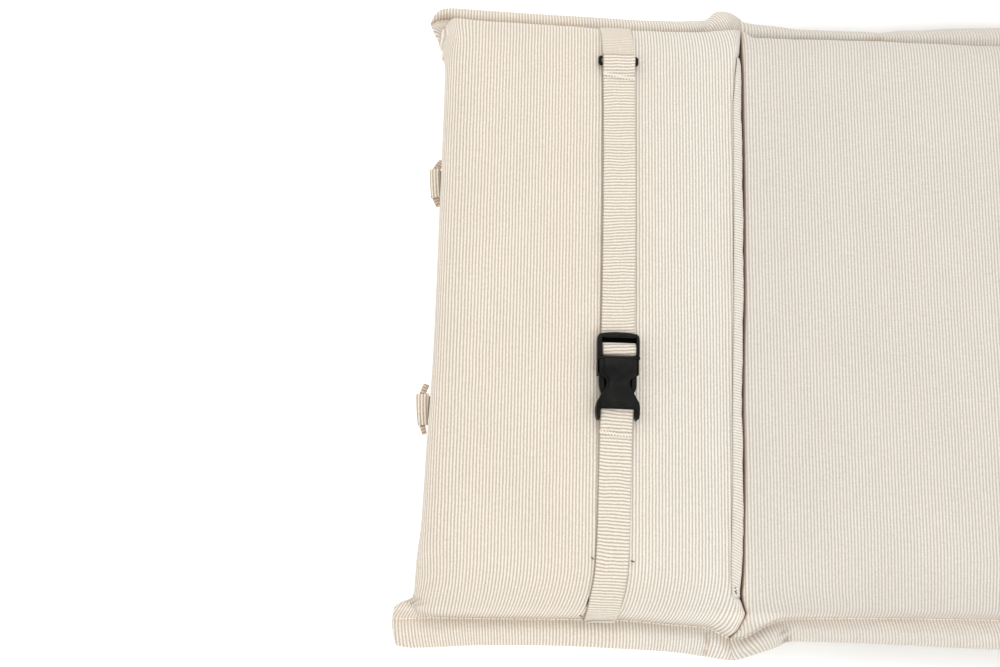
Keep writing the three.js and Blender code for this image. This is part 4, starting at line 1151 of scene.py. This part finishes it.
def seam_stitches(name, side, face):
    """The line of top stitching along one side."""
    reach = STITCH_REACH[side]
    x = np.concatenate([np.arange(low, high - STITCH_PITCH, STITCH_PITCH) for low, high in SEWN_RUNS])
    x = x[end_distance(x, seam_y(side, x)) >= STITCH_MARGIN, None] + [0, STITCH_LENGTH]
    seam = seam_y(side, x)
    half = flange_half(x, seam, reach / abs(edge_y(side, x) - seam))
    points = np.stack([x, seam + side * reach, SEAM_HEIGHT + UP[face] * half], -1)
    return stitches(name, points[:, 0], points[:, 1], (0, 0.25 * side, UP[face]), STITCH_WIDTH, 0.25)


def loose_threads(name, ends, lift):
    """Short bits of dark thread that lie over the head pad; some of them are painted shadows."""
    points = [[cover_point(0, x, y, "top") + (0, 0, lift) for x, y in both] for both in ends]
    return stitches(name, *np.array(points).swapaxes(0, 1), (0, 0, 1), 0.85)


def bartack(name, start, end, rise, lift):
    """A zigzag of stitches across a strap, from (x, y) to (x, y)."""
    count = int(math.dist(start, end) / BARTACK_PITCH)
    x, y = np.linspace(start, end, count + 1).T
    y = y + np.where(np.arange(count + 1) % 2 == 0, rise / 2, -rise / 2) + 0.35 * PUCKER(x, 3.0)
    points = np.array([over_cover(float(one), lift) for one in y])
    points[:, 0] = x
    return stitches(name, points[:-1], points[1:], (0, 0, 1), 0.95)


# Materials


class Wire:
    """What one node of a material gives. Sums and products of wires add the nodes that work them out."""

    def __init__(self, node, output=0):
        self.tree = node.id_data
        self.socket = node.outputs[output]

    def maths(self, operation, other=0.0):
        return Wire(add_node(self.tree, "ShaderNodeMath", {0: self, 1: other}, operation=operation))

    def __add__(self, other):
        return self.maths("ADD", other)

    def __mul__(self, other):
        return self.maths("MULTIPLY", other)

    def __truediv__(self, other):
        return self.maths("DIVIDE", other)

    def ramp(self, low, high, to_low=0.0, to_high=1.0):
        """The wire's value taken softly from one range to another, and held at the ends."""
        inputs = {"Value": self, "From Min": low, "From Max": high, "To Min": to_low, "To Max": to_high}
        return Wire(add_node(self.tree, "ShaderNodeMapRange", inputs, interpolation_type="SMOOTHSTEP"))

    def scaled(self, low, high):
        """A value from 0 to 1, such as noise, moved to run from low to high."""
        return self * (high - low) + low


def set_inputs(node, inputs):
    """Sets a node's inputs, each to a value or to a wire."""
    for key, value in inputs.items():
        if isinstance(value, Wire):
            node.id_data.links.new(value.socket, node.inputs[key])
        else:
            node.inputs[key].default_value = value


def add_node(tree, kind, inputs=None, **settings):
    node = tree.nodes.new(kind)
    for key, value in settings.items():
        setattr(node, key, value)
    set_inputs(node, inputs or {})
    return node


def mix(tree, share, first, second, blend="MIX"):
    """Two colours mixed; each is a wire, or red, green and blue."""
    first, second = (c if isinstance(c, Wire) else (*c, 1) for c in (first, second))
    inputs = {0: share, 6: first, 7: second}
    return Wire(add_node(tree, "ShaderNodeMix", inputs, data_type="RGBA", blend_type=blend), 2)


def bump(height, strength, distance):
    inputs = {"Height": height, "Strength": strength, "Distance": distance}
    return Wire(add_node(height.tree, "ShaderNodeBump", inputs))


def place_axes(tree, kind="ShaderNodeTexCoord", output="Object", **settings):
    """The three coordinates of a place, from a node that gives places."""
    place = Wire(add_node(tree, kind, **settings), output)
    axes = add_node(tree, "ShaderNodeSeparateXYZ", {0: place})
    return [Wire(axes, axis) for axis in range(3)]


def object_noise(tree, scale, detail=3.0):
    place = Wire(add_node(tree, "ShaderNodeTexCoord"), "Object")
    return Wire(add_node(tree, "ShaderNodeTexNoise", {"Vector": place, "Scale": scale, "Detail": detail}))


def cloth_noise(u, v, along, across, detail=2.0, seed=0.0):
    """Noise over cloth coordinates, with its own grain size each way, in metres."""
    place = Wire(add_node(u.tree, "ShaderNodeCombineXYZ", {0: u / along, 1: v / across, 2: seed}))
    return Wire(add_node(u.tree, "ShaderNodeTexNoise", {"Vector": place, "Scale": 1.0, "Detail": detail}))


def new_material(name):
    material = bpy.data.materials.new(name)
    material.use_nodes = True
    return material, material.node_tree, material.node_tree.nodes["Principled BSDF"]


def striped_cloth(name, light, dark, other_dark, wander, shaded=False, rim=None):
    """Woven cloth: light and dark stripes of yarn along v, a plain weave across, and faint unevenness."""
    material, tree, shader = new_material(name)
    u, v, _ = place_axes(tree, "ShaderNodeUVMap", "UV", uv_map="threads")
    drift = cloth_noise(u, v, *DRIFT).scaled(-0.0008 * wander, 0.0008 * wander)
    jitter = cloth_noise(u, v, *JITTER).scaled(-0.00036, 0.00036)
    place = (u + drift + jitter) / (STRIPE_PITCH * MM)
    stripe = (place.maths("FRACT") + -0.5).maths("ABSOLUTE").ramp(0.1, 0.36)
    if shaded:
        stripe = fainter_past_crease(tree, stripe)
    number = (place + 0.5).maths("FLOOR")
    own = Wire(add_node(tree, "ShaderNodeTexWhiteNoise", {"W": number}, noise_dimensions="1D"))
    colour = mix(tree, stripe, mix(tree, own, dark, other_dark), light)
    # Single threads along the stripe, the weft that crosses them, and slubs in both
    thread = (u * (2 * math.pi / THREAD_PITCH)).maths("SINE")
    weft = (v * (2 * math.pi / WEFT_PITCH)).maths("SINE")
    fleck = cloth_noise(u, v, *FLECK)
    slub = cloth_noise(u, v, *SLUB)
    patch = cloth_noise(u, v, *PATCH)
    tone = fleck.scaled(-0.14, 0.14) + slub.scaled(-0.1, 0.1) + patch.scaled(-0.03, 0.03)
    tone = tone + weft * thread * 0.02 + 1.0
    colour = mix(tree, 1.0, colour, tone, "MULTIPLY")
    # Painted shade in the seams and creases, painted light on the near flange, and tints along the cushion
    if shaded:
        colour = paint_shade_and_light(tree, colour)
    # Painted shadow along the tape's edges
    if rim:
        colour = paint_tape_edge_shadow(tree, colour, u, v, rim * MM / 2)
    height = stripe * 0.5 + thread * 0.12 + weft * 0.16 + fleck * 0.8
    look = {"Base Color": colour, "Roughness": fleck.ramp(0.2, 0.8, 0.82, 0.95)}
    set_inputs(shader, look | {"Normal": bump(height, 0.35, 0.00035)})
    set_inputs(shader, {"Specular IOR Level": 0.2, "Sheen Weight": 0.12, "Sheen Roughness": 0.5})
    return material


def fainter_past_crease(tree, stripe):
    """The stripes are a little fainter past the first crease."""
    past = place_axes(tree)[0].ramp(*PAST_CREASE)
    return stripe * past.scaled(1.0, 1 - FAINTER) + past * (0.6 * FAINTER)


def paint_tape_edge_shadow(tree, colour, u, v, half):
    """Paints shadow along the two long edges of a tape, the left one more as under light from the right,
    broken up into dots.
    """
    left = v.ramp(-half + 0.0012, -half + 0.0004)
    right = v.ramp(half - 0.0007, half - 0.0001)
    dots = cloth_noise(u, v, *RIM_DOTS).ramp(0.42, 0.62, 0.5, 0.95)
    return mix(tree, left * dots + right * 0.3, colour, TAPE_EDGE_SHADOW)


def paint_shade_and_light(tree, colour):
    """Paints shade into the seams and creases, tints the cloth along the cushion, with painted cooler light
    on the head pad, and paints light onto the near flange.
    """
    shade = Wire(add_node(tree, "ShaderNodeAttribute", attribute_name="shade"), "Fac")
    # Painted shade from the shade attribute: brown, turning nearly black deep in the creases
    seam_shade_colour = mix(tree, shade.ramp(0.62, 0.95), SEAM_SHADE_BROWN, SEAM_SHADE_DEEP)
    colour = mix(tree, shade * 0.95, colour, seam_shade_colour)
    along, across, _ = place_axes(tree)
    # The first tint is painted cooler light, the second the cloth's own colour
    for places, tint in TINTS:
        colour = mix(tree, along.ramp(*places), colour, tint, "MULTIPLY")
    # Painted light on the near flange, where the pad's wall shades it
    on_flange = across.ramp(*LIGHT_FROM) * along.ramp(*LIGHT_GROWS)
    places, lights = FLANGE_LIGHT
    return mix(tree, on_flange, colour, across.ramp(*places, *lights), "MULTIPLY")


def moulded_plastic(name, base, dusty, gloss):
    """Black acetal: nearly smooth, with a fine spark-eroded grain, faint scuffs and dusty patches."""
    material, tree, shader = new_material(name)
    scuff = object_noise(tree, 160.0, 5.0)
    look = {"Base Color": mix(tree, scuff.ramp(0.5, 0.75), base, dusty), "Specular IOR Level": gloss}
    look["Roughness"] = scuff.ramp(0.3, 0.7, 0.36, 0.52)
    look["Normal"] = bump(object_noise(tree, 2600.0, 2.0), 0.12, 0.0001)
    set_inputs(shader, look)
    return material


def sewing_thread(name, pale, shaded):
    """Twisted thread: pale with a shaded twist."""
    material, tree, shader = new_material(name)
    twist = object_noise(tree, 1500.0)
    look = {"Base Color": mix(tree, twist, shaded, pale), "Roughness": twist.ramp(0.2, 0.8, 0.7, 0.9)}
    set_inputs(shader, look | {"Normal": bump(twist, 0.4, 0.0002)})
    return material


def paper_ground(name):
    """A white ground that glows a little, most on the left and not at all on the right: painted light that
    keeps the shadows on it faint.
    """
    material, tree, shader = new_material(name)
    faint = mix(tree, object_noise(tree, 3.0), (0.93, 0.93, 0.92), (0.95, 0.95, 0.945))
    # Painted light: the ground glows, fading out towards the right
    painted_glow = place_axes(tree)[0].ramp(-0.5, -0.24, 0.35, 0.0)
    set_inputs(shader, {"Base Color": faint, "Roughness": 0.9, "Specular IOR Level": 0.1})
    set_inputs(shader, {"Emission Color": (1, 1, 1, 1), "Emission Strength": painted_glow})
    return material


# Camera and light


def add_camera():
    tilt, azimuth, roll = (math.radians(a) for a in (CAMERA_TILT, CAMERA_AZIMUTH, CAMERA_ROLL))
    level = math.sin(tilt)
    back = Vector((math.sin(azimuth) * level, -math.cos(azimuth) * level, math.cos(tilt)))
    right = (-back).cross(Vector((0, 0, 1))).normalized()
    up = right.cross(-back)
    across = math.cos(roll) * right + math.sin(roll) * up
    upright = -math.sin(roll) * right + math.cos(roll) * up
    data = bpy.data.cameras.new("camera")
    data.lens = CAMERA_LENS
    data.sensor_width = CAMERA_SENSOR
    data.clip_start = 0.01
    camera = add_object("camera", data)
    camera.matrix_world = Matrix((across, upright, back)).transposed().to_4x4()
    camera.location = Vector(CAMERA_TARGET) + back * CAMERA_DISTANCE
    bpy.context.scene.camera = camera


def add_area_light(name, place, target, power, colour):
    data = bpy.data.lights.new(name, "AREA")
    data.shape = "SQUARE"
    data.size = LAMP_SIZE
    data.energy = power
    data.color = colour
    light = add_object(name, data)
    light.location = place
    light.rotation_euler = (Vector(target) - Vector(place)).to_track_quat("-Z", "Y").to_euler()


def add_light():
    """A bright room whose ceiling is darker right overhead, and three soft lights."""
    world = bpy.data.worlds.new("studio")
    world.use_nodes = True
    height = place_axes(world.node_tree, output="Generated")[2]
    sky = {"Color": (1.0, 0.99, 0.975, 1), "Strength": height.ramp(0.8, 0.97, 0.8, 0.4)}
    set_inputs(world.node_tree.nodes["Background"], sky)
    bpy.context.scene.world = world
    for name, lamp in LAMPS.items():
        add_area_light(name, *lamp)


def add_ground():
    half, low = 8.0 / MM, -0.2
    corners = [(-half, -half, low), (half, -half, low), (half, half, low), (-half, half, low)]
    ground = make_mesh("ground", corners, [(0, 1, 2, 3)])
    ground.data.materials.append(paper_ground("ground_paper"))


def settle(obj, material, slot, *nodes):
    """Gives a piece its material and its body, and hides the nodes of the part that it stands for."""
    obj.data.materials.clear()
    obj.data.materials.append(material)
    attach(obj, "root")
    if nodes:
        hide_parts(*nodes)
    return obj


# Yarns: light, dark and the other dark
COVER_YARNS = ((0.81, 0.75, 0.66), (0.53, 0.45, 0.37), (0.50, 0.445, 0.38))
FLAP_YARNS = ((0.77, 0.715, 0.64), (0.56, 0.485, 0.405), (0.58, 0.5, 0.42))
LOOP_YARNS = ((0.81, 0.75, 0.66), (0.40, 0.32, 0.25), (0.46, 0.38, 0.3))
TAPE_YARNS = ((0.81, 0.75, 0.66), (0.50, 0.435, 0.36), (0.46, 0.41, 0.35))
TAB_YARNS = ((0.77, 0.705, 0.61), (0.55, 0.48, 0.40), (0.54, 0.47, 0.39))
COVER = striped_cloth("striped_cover", *COVER_YARNS, 0.5, shaded=True)
FLAP_CLOTH = striped_cloth("striped_flap", *FLAP_YARNS, 1.0, shaded=True)
LOOP_CLOTH = striped_cloth("striped_loop", *LOOP_YARNS, 0.5, shaded=True)
FAR_TAPE = striped_cloth("striped_tape_far", *TAPE_YARNS, 2.2, rim=STRAP_WIDTH[FAR])
NEAR_TAPE = striped_cloth("striped_tape_near", *TAPE_YARNS, 2.2, rim=STRAP_WIDTH[NEAR])
TAB_TAPE = striped_cloth("striped_tab", *TAB_YARNS, 1.5)
PLASTIC = moulded_plastic("black_plastic", (0.0022, 0.0026, 0.0022), (0.007, 0.0075, 0.007), 0.2)
# A darker, duller copy of the black plastic: painted shade for the slot under the prongs' bow
SLOT_SHADE_PLASTIC = moulded_plastic("slot_shade_black_plastic", (0.001, 0.001, 0.001), (0.002, 0.002, 0.002), 0.03)
THREAD = sewing_thread("cream_thread", (0.93, 0.87, 0.76), (0.84, 0.76, 0.64))
TACK_THREAD = sewing_thread("white_thread", (0.97, 0.95, 0.9), (0.88, 0.84, 0.76))
DARK_THREAD = sewing_thread("dark_thread", (0.06, 0.05, 0.045), (0.03, 0.026, 0.024))

add_camera()
add_light()
add_ground()

cover = settle(make_cover(), COVER, "cloth", "cushion")

flap = settle(make_flap(), FLAP_CLOTH, "cloth", "crease_flap")

tab = make_strap("tab_far_tape", tab_line(), STRAP_WIDTH["tab"], 0.8, sewn=TAB_SEWN)
settle(tab, TAB_TAPE, "tape", "tab_far")
strap_far = make_strap("strap_far_tape", strap_far_line(), STRAP_WIDTH[FAR], 0.975, STRIPE_SKEW[FAR])
settle(strap_far, FAR_TAPE, "tape", "strap_far")
strap_near = make_strap("strap_near_tape", strap_near_line(), STRAP_WIDTH[NEAR], 1.03, STRIPE_SKEW[NEAR])
settle(strap_near, NEAR_TAPE, "tape", "strap_near")

for loop_name, strips in LOOPS.items():
    piece = settle(make_loop(loop_name, strips), LOOP_CLOTH, "tape", loop_name)

settle(make_ring(), PLASTIC, "plastic", "ring_far")
settle(make_prongs(), PLASTIC, "plastic", "buckle_prongs")
settle(make_lip(), SLOT_SHADE_PLASTIC, "plastic")
settle(make_socket(), PLASTIC, "plastic", "buckle_socket")

for side, side_name in ((NEAR, "near"), (FAR, "far")):
    for face in UP:
        settle(seam_stitches(f"stitches_{side_name}_{face}", side, face), THREAD, "cloth")

for tack_name, tack in BARTACKS.items():
    settle(bartack(tack_name, *tack), TACK_THREAD, "tape")
# Two thread ends, and two dark marks that are painted shadows
settle(loose_threads("thread_ends_and_shadow_marks", THREAD_ENDS_AND_SHADOW_MARKS, 0.6), DARK_THREAD, "tape")
settle(loose_threads("flap_knot", FLAP_KNOT, FLAP_THICK + FLAP_CLEAR + 0.6), DARK_THREAD, "tape")

bpy.context.scene.view_settings.view_transform = "Standard"
bpy.context.view_layer.update()
